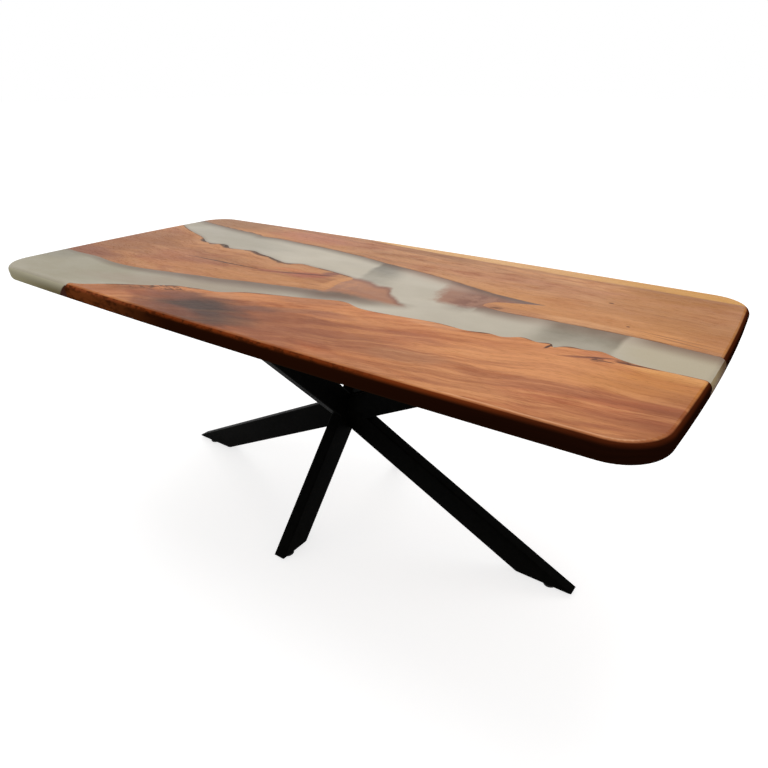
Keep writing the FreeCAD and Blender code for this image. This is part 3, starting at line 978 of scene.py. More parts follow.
    def lay_bark(self, sketch: NodeSketch, position: Socket, inside: Socket, below: Socket) -> Socket:
        """Draws the broken line of bark left on the live edge, and a soft painted shade on the wood beside
        it.

        Args:
            sketch: the material's sketch.
            position: coordinates of the surface.
            inside: distance in from the live edge.
            below: colour under the bark.

        Returns:
            The colour with the bark on it.
        """
        x = sketch.split(position)[0]
        ragged = sketch.noise(sketch.scaled(position, 1.0, 0.6, 1.0), 17.0, 3.0, 0.65)
        start = sketch.fade(x, self.bark.start - 0.05, self.bark.start + 0.03)
        stop = sketch.fade(x, self.bark.end + 0.04, self.bark.end - 0.03)
        span = sketch.product(start, stop)
        deepest = sketch.fade(span, 0.0, 1.0, self.bark.thin, self.bark.reach)
        reach = sketch.product(sketch.fade(ragged, 0.38, 0.66), deepest)
        crust = sketch.fade(sketch.math("DIVIDE", inside, sketch.plus(reach, 0.0005)), 1.25, 0.55)
        beside = sketch.fade(inside, -0.020, -0.006)
        # Soft painted shade on the wood within 10 mm of the live edge, continuing the resin's shade.
        soft = sketch.product(sketch.fade(inside, 0.010, 0.0, 0.0, self.bark.edge), beside)
        colour = sketch.mix(soft, below, self.bark_colour)
        return sketch.mix(sketch.product(crust, beside, self.bark.strength), colour, self.bark_colour)


@dataclass(frozen=True)
class Band:
    """A straight grey band across the river, darkest at its high end."""

    left: float
    right: float
    low: float
    high: float
    colour: Colour
    strength: float
    lean: float = 0.0
    left_edge: float = 0.010
    right_edge: float = 0.010

    def lay(self, sketch: NodeSketch, position: Socket, below: Socket) -> Socket:
        """Lays the band over a colour, darkest at its high end and gone below its low end.

        Args:
            sketch: the material's sketch.
            position: coordinates of the surface.
            below: colour that the band covers.

        Returns:
            The colour with the band on it.
        """
        x, y, _ = sketch.split(position)
        waver = sketch.product(sketch.minus(sketch.noise(position, 9.0, 2.0), 0.5), 0.05)
        drop = sketch.product(sketch.minus(y, self.high), self.lean)
        place = sketch.plus(sketch.plus(x, waver), drop)
        start = sketch.fade(place, self.left - self.left_edge, self.left + self.left_edge)
        stop = sketch.fade(place, self.right + self.right_edge, self.right - self.right_edge)
        smoke = sketch.product(sketch.minus(sketch.noise(position, 14.0, 3.0, 0.6), 0.5), 0.7)
        deeper = sketch.plus(sketch.fade(y, self.low, self.high, 0.40, 1.0), smoke)
        ends = sketch.fade(y, self.low - 0.02, self.low + 0.01)
        return sketch.mix(sketch.product(start, stop, deeper, ends, self.strength), below, self.colour)


@dataclass(frozen=True)
class ResinFinish:
    """Milky satin resin, with clouds in it and the sunk ledges of wood showing through."""

    pale: Colour = srgb(196, 186, 168)
    mid: Colour = srgb(184, 174, 156)
    # Colour of the painted shade in the resin beside the wood.
    shade: Colour = srgb(89, 56, 32)
    ledge: Colour = srgb(184, 120, 76)
    ledge_dim: Colour = srgb(160, 104, 72)
    ledge_red: Colour = srgb(122, 68, 46)
    ledge_rear: Colour = srgb(154, 104, 78)
    wedge: Colour = srgb(84, 56, 42)
    side: Colour = srgb(182, 175, 150)
    side_low: Colour = srgb(174, 166, 134)
    side_near_wood: Colour = srgb(118, 106, 74)
    side_right: Colour = srgb(160, 140, 106)
    side_right_rear: Colour = srgb(98, 72, 44)
    side_right_low: Colour = srgb(88, 54, 24)
    side_wood: Colour = srgb(64, 28, 15)
    patches: tuple[Patch | Band, ...] = ()

    def material(self) -> Material:
        """Builds the material of the upper face and the underside.

        Returns:
            The finished material.
        """
        material, sketch, shader = open_material("milky_resin", specular=0.10)
        position = sketch.position()
        x, y, _ = sketch.split(position)
        lines = sketch.use(Effect.LINES, {"X": x})
        clouds = sketch.noise(sketch.scaled(position, 0.8, 1.4, 1.0), 4.0, 4.0, 0.55)
        colour = sketch.mix(sketch.fade(clouds, 0.30, 0.70), self.mid, self.pale)
        for patch in self.patches:
            colour = patch.lay(sketch, position, colour)
        colour = self.lay_shades(sketch, x, y, lines, colour)
        colour = self.lay_ledges(sketch, position, lines, colour)
        speckle = sketch.noise(position, 420.0, 2.0, 0.6)
        colour = sketch.darken(colour, speckle, ((0.25, srgb(247, 247, 246)), (0.70, WHITE)))
        sketch.feed(shader.inputs["Base Color"], colour)
        self.lay_gloss(sketch, shader, position, 0.36)
        return material

    def side_material(self) -> Material:
        """Builds the material of the rounded rim and the outer sides.

        Returns:
            The finished material.
        """
        material, sketch, shader = open_material("resin_side", specular=0.006)
        position = sketch.position()
        sketch.feed(shader.inputs["Base Color"], self.side_colour(sketch, *sketch.split(position)))
        self.lay_gloss(sketch, shader, position, 0.44)
        return material

    @staticmethod
    def lay_gloss(sketch: NodeSketch, shader: Node, position: Socket, base: float) -> None:
        """Gives the satin polish: smears, fine scratches and a faint ripple.

        Args:
            sketch: the material's sketch.
            shader: its Principled shader.
            position: coordinates of the surface.
            base: roughness of the clean surface.
        """
        marks = sketch.use(Effect.HANDLING, {"Position": position})
        rough = sketch.plus(base, sketch.product(marks.outputs["Smears"], 0.10))
        rough = sketch.plus(rough, sketch.product(marks.outputs["Scratches"], 0.08))
        sketch.feed(shader.inputs["Roughness"], rough)
        ripple = sketch.noise(position, 900.0, 2.0, 0.5)
        sketch.feed(shader.inputs["Normal"], sketch.bump(ripple, 0.06, 0.0002))

    def side_colour(self, sketch: NodeSketch, x: Socket, y: Socket, z: Socket) -> Socket:
        """Colours the outer sides: darker below and beside the wood, whose edge slants in behind the resin.

        Args:
            sketch: the material's sketch.
            x: place along the table.
            y: place across it.
            z: height.

        Returns:
            The colour.
        """
        low = sketch.fade(z, TOP_FACE - 0.0030, UNDERSIDE + 0.0080)
        right = sketch.fade(x, 0.60, 0.90)
        toward_rear = sketch.fade(y, -0.105, -0.005)
        end = sketch.mix(toward_rear, self.side_right, self.side_right_rear)
        upper = sketch.mix(right, self.side, end)
        lower = sketch.mix(sketch.fade(x, -0.94, -0.62), self.side_low, self.side_near_wood)
        lower = sketch.mix(right, lower, self.side_right_low)
        colour = sketch.mix(low, upper, lower)
        lean = sketch.product(sketch.minus(TOP_FACE, z), 1.25)
        past = sketch.plus(sketch.plus(x, 0.588), lean)
        near = sketch.fade(y, -0.36, -0.40)
        return sketch.mix(sketch.product(sketch.fade(past, -0.004, 0.004), near), colour, self.side_wood)

    def lay_ledges(self, sketch: NodeSketch, position: Socket, lines: Node, below: Socket) -> Socket:
        """Shows the wood that goes on under the resin, past the middle slab's tip and beside the rear slab,
        with a painted shade below the rear ledge.

        Args:
            sketch: the material's sketch.
            position: coordinates of the surface.
            lines: the live edges.
            below: colour of the clear resin.

        Returns:
            The colour with the ledges in it.
        """
        x, y, _ = sketch.split(position)
        mottle = sketch.noise(position, 26.0, 4.0, 0.65)
        waver = sketch.minus(mottle, 0.5)
        soft_x = sketch.plus(x, sketch.product(waver, 0.060))
        soft_y = sketch.plus(y, sketch.product(waver, 0.030))
        blotch = sketch.fade(mottle, 0.36, 0.62)

        upper = sketch.minus(lines.outputs["Middle upper"], soft_y)
        lower = sketch.minus(soft_y, lines.outputs["Middle lower"])
        inside = sketch.product(sketch.fade(upper, -0.010, 0.014), sketch.fade(lower, -0.018, 0.012))
        span = sketch.product(sketch.fade(x, 0.314, 0.270), sketch.fade(x, -0.06, 0.02))
        wood = sketch.mix(blotch, self.ledge_dim, self.ledge)
        wood = sketch.mix(sketch.fade(x, 0.02, 0.20, 0.0, 0.80), wood, self.ledge_dim)
        wood = sketch.mix(sketch.fade(upper, 0.030, 0.006, 0.0, 0.80), wood, self.ledge_red)
        colour = sketch.mix(sketch.product(inside, span, 0.94), below, wood)

        rear_low = sketch.minus(soft_y, sketch.line(x, REAR_LEDGE_LINE))
        lean = sketch.plus(soft_x, sketch.product(y, 0.20))
        rear = sketch.product(
            sketch.fade(rear_low, -0.016, 0.016),
            sketch.fade(lean, 0.300, 0.336),
            sketch.fade(soft_y, 0.150, 0.070, 0.45, 1.0),
        )
        # Painted shade in the resin below the rear ledge.
        beside = sketch.product(sketch.fade(x, 0.34, 0.40), sketch.fade(x, 0.52, 0.46))
        foot = sketch.product(sketch.fade(rear_low, -0.055, -0.004), beside, 0.36)
        colour = sketch.mix(foot, colour, self.shade)
        deeper = sketch.fade(x, 0.310, 0.420, 0.10, 1.0)
        bed = sketch.mix(sketch.product(blotch, deeper), self.ledge_rear, self.ledge_red)
        colour = sketch.mix(sketch.product(rear, sketch.fade(x, 0.62, 0.58), 0.92), colour, bed)
        wedge = sketch.minus(sketch.line(x, WEDGE_LINE), y)
        deep = sketch.product(sketch.fade(wedge, 0.034, 0.002), sketch.fade(soft_x, 0.25, 0.32), 0.68)
        return sketch.mix(sketch.product(deep, sketch.fade(x, 0.60, 0.575)), colour, self.wedge)

    def lay_shades(self, sketch: NodeSketch, x: Socket, y: Socket, lines: Node, below: Socket) -> Socket:
        """Darkens the resin close to the wood: partly the slanting live edges showing through the thin resin,
        partly painted shade along the slabs' edges.

        Args:
            sketch: the material's sketch.
            x: place along the table.
            y: place across it.
            lines: the live edges at x.
            below: colour of the resin.

        Returns:
            The shaded colour.
        """
        rear = sketch.minus(lines.outputs["Rear"], y)
        wide = sketch.fade(x, 0.40, 0.48, 0.048, 0.062)
        depth = sketch.plus(sketch.fade(x, 0.52, 0.64, 0.74, 0.26), sketch.fade(x, 0.80, 0.87, 0.0, 0.46))
        fork = sketch.minus(1.0, sketch.product(sketch.fade(x, 0.36, 0.42), sketch.fade(y, 0.02, 0.05)))
        under_rear = sketch.product(
            sketch.fade(rear, wide, -0.004), sketch.fade(rear, -0.030, -0.020), fork, depth
        )
        colour = sketch.mix(under_rear, below, self.shade)
        amber = sketch.product(
            sketch.fade(rear, 0.075, 0.010),
            sketch.fade(x, 0.02, 0.20),
            sketch.fade(x, 0.46, 0.38, 0.5, 1.0),
            0.34,
        )
        colour = sketch.mix(amber, colour, self.ledge_rear)
        lower = sketch.minus(lines.outputs["Middle lower"], y)
        reach = sketch.line(x, SHADE_REACH)
        strength = sketch.line(x, SHADE_STRENGTH)
        thinning = sketch.fade(lower, reach, sketch.product(reach, 0.2))
        under_middle = sketch.product(thinning, sketch.fade(lower, -0.030, -0.020), strength)
        colour = sketch.mix(under_middle, colour, self.shade)
        upper = sketch.minus(y, lines.outputs["Middle upper"])
        over_middle = sketch.product(
            sketch.fade(upper, 0.018, -0.002),
            sketch.fade(upper, -0.030, -0.020),
            sketch.fade(x, 0.06, 0.0),
            0.32,
        )
        return sketch.mix(over_middle, colour, self.shade)


@dataclass(frozen=True)
class PowderCoat:
    """Black satin powder coat on the steel, with a fine orange-peel texture and dust near the floor."""

    deep: Colour = srgb(3, 3, 2)
    lifted: Colour = srgb(7, 7, 6)
    dust: Colour = srgb(60, 58, 52)

    def material(self) -> Material:
        """Builds the material.

        Returns:
            The finished material.
        """
        material, sketch, shader = open_material("black_powder_coat", specular=0.010)
        position = sketch.position()
        marks = sketch.use(Effect.HANDLING, {"Position": position})
        mottle = sketch.noise(position, 60.0, 3.0, 0.6)
        colour = sketch.mix(sketch.fade(mottle, 0.30, 0.70), self.deep, self.lifted)
        colour = sketch.mix(sketch.product(marks.outputs["Dust"], 0.03), colour, self.dust)
        sketch.feed(shader.inputs["Base Color"], colour)
        rough = sketch.plus(0.40, sketch.product(marks.outputs["Smears"], 0.12))
        rough = sketch.plus(rough, sketch.product(marks.outputs["Dust"], 0.25))
        sketch.feed(shader.inputs["Roughness"], rough)
        peel = sketch.noise(position, 850.0, 2.0, 0.5)
        sketch.feed(shader.inputs["Normal"], sketch.bump(peel, 0.16, 0.0003))
        return material


class Metal(Enum):
    """Bare metals of the hardware: the pale and the dull colour of each."""

    ZINC = (srgb(198, 200, 203), srgb(150, 154, 160))
    BRASS = (srgb(214, 176, 98), srgb(160, 122, 60))


@dataclass(frozen=True)
class BareMetal:
    """Plated or bare metal with a dull, slightly clouded surface and turning marks."""

    metal: Metal

    def material(self) -> Material:
        """Builds the material.

        Returns:
            The finished material.
        """
        material, sketch, shader = open_material(f"{self.metal.name.lower()}_metal", metallic=1.0)
        position = sketch.position()
        bright, dull = self.metal.value
        clouds = sketch.noise(position, 90.0, 3.0, 0.6)
        marks = sketch.use(Effect.HANDLING, {"Position": position})
        colour = sketch.mix(sketch.fade(clouds, 0.10, 0.80), dull, bright)
        sketch.feed(shader.inputs["Base Color"], colour)
        rough = sketch.plus(0.30, sketch.product(sketch.fade(clouds, 0.30, 0.75), 0.16))
        rough = sketch.plus(rough, sketch.product(marks.outputs["Smears"], 0.08))
        sketch.feed(shader.inputs["Roughness"], rough)
        turned = sketch.noise(sketch.scaled(position, 300.0, 300.0, 2600.0), 1.0, 1.0, 0.5)
        sketch.feed(shader.inputs["Normal"], sketch.bump(turned, 0.08, 0.0002))
        return material


@dataclass(frozen=True)
class PadPlastic:
    """Dark moulded plastic of the glide pads, scuffed grey by the floor."""

    body: Colour = srgb(20, 20, 20)
    scuff: Colour = srgb(74, 72, 68)

    def material(self) -> Material:
        """Builds the material.

        Returns:
            The finished material.
        """
        material, sketch, shader = open_material("pad_plastic", specular=0.35)
        position = sketch.position()
        marks = sketch.use(Effect.HANDLING, {"Position": position})
        scuffs = sketch.fade(sketch.noise(position, 240.0, 3.0, 0.7), 0.42, 0.62)
        worn = sketch.product(sketch.fade(sketch.split(position)[2], 0.0030, 0.0004), scuffs)
        colour = sketch.mix(sketch.product(worn, 0.55), self.body, self.scuff)
        colour = sketch.mix(sketch.product(marks.outputs["Dust"], 0.12), colour, self.scuff)
        sketch.feed(shader.inputs["Base Color"], colour)
        sketch.feed(shader.inputs["Roughness"], sketch.plus(0.50, sketch.product(worn, 0.2)))
        texture = sketch.noise(position, 1600.0, 2.0, 0.5)
        sketch.feed(shader.inputs["Normal"], sketch.bump(texture, 0.12, 0.0002))
        return material


def add_piece(name: str, data: bpy.types.ID) -> Piece:
    """Adds an object to the scene.

    Args:
        name: its name.
        data: its mesh, camera or lamp.

    Returns:
        The object.
    """
    piece = bpy.data.objects.new(name, data)
    bpy.context.scene.collection.objects.link(piece)
    return piece


def pick(piece: Piece) -> None:
    """Selects one piece alone and makes it the active one.

    Args:
        piece: the piece.
    """
    bpy.ops.object.select_all(action="DESELECT")
    bpy.context.view_layer.objects.active = piece
    piece.select_set(True)


def smooth_copy(node: Piece, name: str) -> Piece:
    """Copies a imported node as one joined, smooth-shaded mesh that stands for it.

    Args:
        node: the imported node.
        name: name of the new piece.

    Returns:
        The new piece, riding on the node's body.
    """
    piece = add_piece(name, node.data.copy())
    piece.data.materials.clear()
    pick(piece)
    bpy.ops.mesh.customdata_custom_splitnormals_clear()
    bpy.ops.object.mode_set(mode="EDIT")
    bpy.ops.mesh.select_all(action="SELECT")
    bpy.ops.mesh.remove_doubles(threshold=MERGE_DISTANCE)
    bpy.ops.object.mode_set(mode="OBJECT")
    bpy.ops.object.shade_smooth_by_angle(angle=math.radians(SMOOTH_COPY))
    piece.select_set(False)
    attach(piece, node["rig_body"])
    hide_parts(node.name)
    return piece


def apply_modifier(piece: Piece, kind: str, **settings: object) -> None:
    """Adds a modifier to a piece, sets it and applies it.

    Args:
        piece: the piece.
        kind: the modifier's type.
        settings: properties to set on it.
    """
    bpy.context.view_layer.objects.active = piece
    modifier = piece.modifiers.new(kind.lower(), kind)
    for name, value in settings.items():
        setattr(modifier, name, value)
    bpy.ops.object.modifier_apply(modifier=modifier.name)


def ease_edges(piece: Piece, width: float) -> None:
    """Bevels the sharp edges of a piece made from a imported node.

    Args:
        piece: the piece.
        width: width of the bevels, in metres.
    """
    pick(piece)
    bpy.ops.object.mode_set(mode="EDIT")
    bpy.ops.mesh.select_all(action="SELECT")
    bpy.ops.mesh.dissolve_limited(angle_limit=math.radians(FLAT_ANGLE))
    bpy.ops.object.mode_set(mode="OBJECT")
    apply_modifier(
        piece, "BEVEL", width=width, segments=2, limit_method="ANGLE", angle_limit=math.radians(EASED_ANGLE)
    )
    bpy.ops.object.shade_smooth_by_angle(angle=math.radians(SMOOTH_COPY))
    piece.select_set(False)


@dataclass
class RiverTop:
    """The three slabs and the resin casting."""

    nodes: dict[str, Piece]

    @staticmethod
    def front_finish() -> WoodFinish:
        """The near slab: rich orange brown, with a dark stain and bark specks on its left part.

        Returns:
            The finish.
        """
        return WoodFinish(
            slab=Slab.FRONT,
            dark=srgb(154, 90, 58),
            middle=srgb(198, 129, 82),
            light=srgb(222, 156, 104),
            rosy=srgb(188, 112, 78),
            edge_glow=srgb(226, 154, 100),
            bark=Bark(start=-0.47, end=-0.26, reach=0.012, strength=0.75, thin=0.0020),
            seed=3.0,
            patches=(
                Patch((0.150, -0.348), (0.250, 0.066), srgb(144, 90, 66), 0.46, turn=17.0),
                Patch((-0.130, -0.370), (0.210, 0.080), srgb(128, 78, 58), 0.80, turn=3.0, edge=0.60),
                Patch((-0.146, -0.368), (0.126, 0.062), srgb(68, 58, 54), 0.92, turn=8.0, edge=0.60),
                Patch((0.000, -0.392), (0.076, 0.034), srgb(98, 74, 62), 0.58, turn=14.0, edge=0.60),
                Patch((0.060, -0.270), (0.130, 0.016), srgb(126, 86, 74), 0.48, turn=22.0),
                Patch((0.070, -0.182), (0.100, 0.026), srgb(172, 112, 78), 0.60, turn=18.0),
                Patch((0.790, -0.188), (0.080, 0.024), srgb(229, 162, 104), 0.52),
                Patch((0.940, -0.146), (0.090, 0.018), srgb(234, 172, 106), 0.84),
                Patch((0.590, -0.376), (0.130, 0.040), srgb(212, 154, 106), 0.42),
                Patch((0.430, -0.240), (0.060, 0.018), srgb(170, 108, 78), 0.52),
                Patch((0.180, -0.236), (0.060, 0.020), srgb(164, 104, 77), 0.55, turn=10.0),
                Patch((0.170, -0.420), (0.090, 0.025), srgb(146, 92, 68), 0.52),
                Patch((-0.100, -0.408), (0.120, 0.032), srgb(88, 66, 59), 0.84),
                Patch((-0.245, -0.326), (0.060, 0.025), srgb(100, 72, 60), 0.62, turn=20.0),
                Patch((0.000, -0.300), (0.060, 0.020), srgb(120, 80, 66), 0.52, turn=15.0),
                Patch((0.645, -0.250), (0.195, 0.060), srgb(228, 159, 106), 0.80, turn=8.0),
                Patch((0.400, -0.426), (0.120, 0.020), srgb(206, 146, 102), 0.45),
                Patch((-0.120, -0.266), (0.070, 0.016), srgb(216, 152, 104), 0.55, turn=20.0),
                Patch((0.420, -0.156), (0.060, 0.012), srgb(226, 166, 124), 0.50),
                Patch((0.935, -0.178), (0.100, 0.036), srgb(204, 136, 70), 0.64),
                Patch((0.895, -0.230), (0.125, 0.038), srgb(209, 142, 82), 0.68),
                Patch((0.940, -0.292), (0.085, 0.024), srgb(178, 114, 72), 0.45, turn=3.0),
                Patch((0.400, -0.292), (0.130, 0.046), srgb(208, 140, 92), 0.38, turn=6.0),
                Patch((0.660, -0.186), (0.060, 0.020), srgb(224, 154, 98), 0.32),
                Patch((0.972, -0.335), (0.056, 0.110), srgb(138, 79, 50), 0.52),
                Patch((-0.365, -0.325), (0.105, 0.024), srgb(44, 32, 28), 0.85, turn=22.0, breakup=1.0),
                Patch((0.670, -0.402), (0.200, 0.040), srgb(204, 140, 92), 0.18),
                Patch((0.465, -0.335), (0.080, 0.026), srgb(218, 162, 114), 0.62, turn=14.0),
                Patch((0.740, -0.315), (0.140, 0.020), srgb(210, 152, 108), 0.32, turn=11.0),
                Patch((0.866, -0.384), (0.090, 0.030), srgb(212, 148, 98), 0.42, turn=10.0),
                Patch((0.330, -0.345), (0.200, 0.042), srgb(148, 94, 70), 0.42, turn=6.0),
                Patch((-0.420, -0.356), (0.070, 0.028), srgb(130, 86, 60), 0.62, turn=26.0),
                Patch((-0.520, -0.410), (0.090, 0.040), srgb(164, 102, 60), 0.65, turn=24.0),
                Patch((-0.280, -0.345), (0.090, 0.036), srgb(142, 86, 64), 0.62, turn=14.0),
                Patch((-0.190, -0.415), (0.120, 0.026), srgb(138, 84, 62), 0.62),
                Patch((0.910, -0.290), (0.100, 0.010), srgb(176, 104, 70), 0.60, turn=18.0, wobble=1.3),
                Patch((0.918, -0.338), (0.090, 0.013), srgb(164, 96, 65), 0.55, turn=18.0, wobble=1.3),
                Patch((0.905, -0.386), (0.060, 0.008), srgb(170, 100, 68), 0.45, turn=20.0, wobble=1.3),
                Patch((0.780, -0.122), (0.046, 0.012), srgb(196, 122, 86), 0.45, turn=-4.0, wobble=1.6),
                Patch((0.758, -0.147), (0.032, 0.0050), srgb(118, 64, 54), 0.75, turn=22.0, wobble=2.0),
                Patch((0.778, -0.137), (0.032, 0.0030), srgb(92, 50, 46), 0.75, turn=22.0, wobble=2.2),
                Patch(
                    (0.788, -0.142), (0.010, 0.0090), srgb(58, 28, 32), 0.92,
                    turn=14.0, wobble=2.6, breakup=0.55,
                ),
                Patch((0.806, -0.144), (0.016, 0.0022), srgb(76, 42, 38), 0.80, turn=6.0, wobble=1.6),
                Patch(
                    (0.836, -0.128), (0.013, 0.0075), srgb(56, 28, 34), 0.92,
                    turn=-10.0, wobble=2.4, breakup=0.45,
                ),
                Patch((0.848, -0.133), (0.024, 0.0024), srgb(76, 44, 38), 0.85, turn=4.0, wobble=1.4),
                Patch((0.876, -0.129), (0.028, 0.0022), srgb(80, 48, 42), 0.85, wobble=1.2),
                Patch((0.682, -0.131), (0.0038, 0.015), srgb(50, 32, 30), 0.95, turn=-12.0),
            ),
        )

    @staticmethod
    def middle_finish() -> WoodFinish:
        """The slab that ends in the river: paler, mauve at its left end, with a crack and a red streak.

        Returns:
            The finish.
        """
        return WoodFinish(
            slab=Slab.MIDDLE,
            dark=srgb(150, 100, 68),
            middle=srgb(183, 128, 84),
            light=srgb(204, 146, 98),
            rosy=srgb(178, 114, 82),
            edge_glow=srgb(200, 144, 98),
            bark=Bark(start=-0.74, end=-0.20, reach=0.016, strength=0.70, edge=0.10),
            seed=17.0,
            patches=(
                Patch((-0.900, 0.010), (0.180, 0.140), srgb(152, 100, 64), 0.68, turn=10.0),
                Patch((-0.910, -0.180), (0.170, 0.050), srgb(140, 86, 62), 0.80, turn=-4.0),
                Patch((-0.300, -0.110), (0.300, 0.045), srgb(206, 146, 94), 0.55, turn=8.0),
                Patch((-0.180, 0.002), (0.060, 0.014), srgb(208, 132, 86), 0.55, turn=8.0),
                Patch((-0.200, -0.036), (0.060, 0.011), srgb(168, 98, 76), 0.70, turn=8.0, wobble=1.2),
                Patch((-0.095, -0.012), (0.060, 0.024), srgb(172, 98, 76), 0.80, turn=20.0, wobble=1.2),
                Patch((-0.046, 0.034), (0.026, 0.018), srgb(134, 84, 74), 0.80, turn=40.0, wobble=1.2),
                Patch(
                    (-0.420, -0.047), (0.150, 0.004), srgb(70, 44, 38), 0.95,
                    turn=1.0, wobble=1.6, breakup=0.3,
                ),
                Patch((-0.130, -0.015), (0.120, 0.005), srgb(96, 54, 48), 0.75, turn=18.0, wobble=1.6),
                Patch((0.020, -0.020), (0.022, 0.050), srgb(216, 156, 104), 0.70, turn=-8.0),
                Patch((-0.700, 0.116), (0.034, 0.010), srgb(70, 52, 44), 0.85, turn=-28.0, wobble=1.6),
                Patch((-0.580, 0.104), (0.040, 0.012), srgb(88, 72, 58), 0.90, turn=-24.0, wobble=1.2),
                Patch((-0.385, 0.083), (0.050, 0.011), srgb(84, 54, 42), 0.90, turn=-14.0, wobble=1.6),
                Patch((-0.310, 0.064), (0.038, 0.008), srgb(72, 56, 46), 0.90, turn=-18.0, wobble=1.4),
            ),
        )

    @staticmethod
    def rear_finish() -> WoodFinish:
        """The far slab: even and straight in the grain, rosy on its left half, with pale sapwood behind.

        Returns:
            The finish.
        """
        return WoodFinish(
            slab=Slab.REAR,
            dark=srgb(164, 116, 80),
            middle=srgb(196, 143, 101),
            light=srgb(217, 160, 112),
            rosy=srgb(188, 130, 98),
            edge_glow=srgb(206, 150, 102),
            bark=Bark(start=-0.90, end=-0.56, reach=0.012, strength=0.55, edge=0.18),
            seed=29.0,
            patches=(
                Patch((-0.850, 0.380), (0.230, 0.085), srgb(160, 118, 84), 0.80),
                Patch((-0.400, 0.350), (0.170, 0.060), srgb(190, 124, 100), 0.65),
                Patch((0.680, 0.100), (0.340, 0.080), srgb(206, 142, 84), 0.58, turn=-4.0),
                Patch((0.905, 0.180), (0.110, 0.120), srgb(186, 128, 76), 0.60),
                Patch((0.770, 0.240), (0.090, 0.055), srgb(182, 122, 64), 0.45),
                Patch((0.690, 0.036), (0.110, 0.018), srgb(224, 168, 120), 0.50),
                Patch((0.850, 0.338), (0.170, 0.050), srgb(162, 103, 38), 0.68, turn=-2.0),
                Patch((0.900, 0.042), (0.100, 0.030), srgb(218, 152, 92), 0.66, turn=-3.0),
                Patch((0.970, 0.080), (0.060, 0.060), srgb(176, 114, 62), 0.42),
                Patch((0.910, 0.034), (0.065, 0.0028), srgb(108, 66, 46), 0.42, turn=-9.0, wobble=1.4),
                Patch((0.880, 0.052), (0.080, 0.0024), srgb(122, 76, 52), 0.50, turn=-5.0, wobble=1.4),
                Patch((0.482, 0.026), (0.016, 0.008), srgb(92, 60, 46), 0.70, turn=10.0, breakup=0.4),
                Patch((0.699, 0.212), (0.006, 0.004), srgb(92, 56, 44), 0.80),
                Patch((0.783, 0.071), (0.004, 0.003), srgb(70, 40, 34), 0.85),
            ),
        )

    @staticmethod
    def resin() -> ResinFinish:
        """The finish of the casting, with its darker clouds and bands.

        Returns:
            The finish.
        """
        return ResinFinish(
            patches=(
                Patch((-0.760, -0.320), (0.360, 0.150), srgb(152, 144, 121), 0.85, edge=0.50, wobble=0.4),
                Patch((-0.300, -0.260), (0.330, 0.050), srgb(158, 142, 122), 0.80, turn=14.0, wobble=0.4),
                Patch((-0.960, -0.250), (0.100, 0.050), srgb(112, 104, 84), 0.52, edge=0.60, wobble=0.4),
                Patch((-0.960, 0.290), (0.090, 0.045), srgb(146, 134, 112), 0.60, edge=0.60, wobble=0.4),
                Patch((-0.640, 0.200), (0.300, 0.090), srgb(168, 160, 144), 0.80, turn=-12.0, wobble=0.4),
                Patch((0.930, -0.060), (0.120, 0.090), srgb(181, 167, 139), 0.82, edge=0.50, wobble=0.4),
                Band(0.006, 0.100, 0.030, 0.200, srgb(104, 98, 86), 0.85, 0.25, 0.010, 0.050),
                Band(0.625, 0.803, -0.140, 0.016, srgb(112, 102, 83), 0.86, 0.05, 0.040, 0.009),
            ),
        )

    def build(self) -> list[Piece]:
        """Makes the smooth pieces of the top and gives them their finishes.

        Returns:
            The pieces.
        """
        pieces = []
        for finish in (self.front_finish(), self.middle_finish(), self.rear_finish()):
            name = finish.slab.value
            piece = smooth_copy(self.nodes[name], f"{name}_wood")
            self.dress(piece, finish, WOOD_SIDE_TILT, name.replace("slab", "wood"))
            pieces.append(piece)
        casting = smooth_copy(self.nodes["resin_casting"], "resin_river")
        self.dress(casting, self.resin(), RESIN_SIDE_TILT, "resin")
        return [*pieces, casting]

    @staticmethod
    def dress(piece: Piece, finish: WoodFinish | ResinFinish, tilt: float, slot: str) -> None:
        """Gives a piece the finish of its faces and, where they lean over, that of its sides.

        Args:
            piece: the piece.
            finish: its finish.
            tilt: the upright part of a face's normal below which it belongs to the sides.
            slot: not used.
        """
        piece.data.materials.append(finish.material())
        piece.data.materials.append(finish.side_material())
        for face in piece.data.polygons:
            face.material_index = int(abs(face.normal.z) < tilt)


@dataclass
class CrossedBase:
    """The crossed tubes with their foot plates and mount plates."""

    nodes: dict[str, Piece]
    plate_ease: float = 0.0006

    def build(self) -> list[Piece]:
        """Makes the smooth steel pieces and coats them.

        Returns:
            The pieces.
        """
        coat = PowderCoat().material()
        pieces = []
        for name in sorted(self.nodes):
            if name.endswith(("_bar", "_leg", "_arm", "_plate")):
                piece = smooth_copy(self.nodes[name], f"{name}_coated")
                if name.endswith("_mount_plate"):
                    ease_edges(piece, self.plate_ease)
                piece.data.materials.append(coat)
                pieces.append(piece)
        return pieces


def draw_profile(name: str, points: Sequence[Point]) -> Piece:
    """Draws a chain of edges in the upright plane through the axis, and stays in edit mode.

    Args:
        name: name of the new piece.
        points: radius and height of each point, in millimetres.

    Returns:
        The piece, with its last point selected.
    """
    bpy.ops.object.select_all(action="DESELECT")
    bpy.ops.mesh.primitive_plane_add(size=1.0, location=(0.0, 0.0, 0.0))
    piece = bpy.context.object
    piece.name = name
    bpy.ops.object.mode_set(mode="EDIT")
    bpy.ops.mesh.select_all(action="SELECT")
    bpy.ops.mesh.merge(type="CENTER")
    bpy.ops.transform.translate(value=(points[0][0], 0.0, points[0][1]))
    for (radius, height), (next_radius, next_height) in zip(points, points[1:]):
        step = (next_radius - radius, 0.0, next_height - height)
        bpy.ops.mesh.extrude_vertices_move(TRANSFORM_OT_translate={"value": step})
    return piece


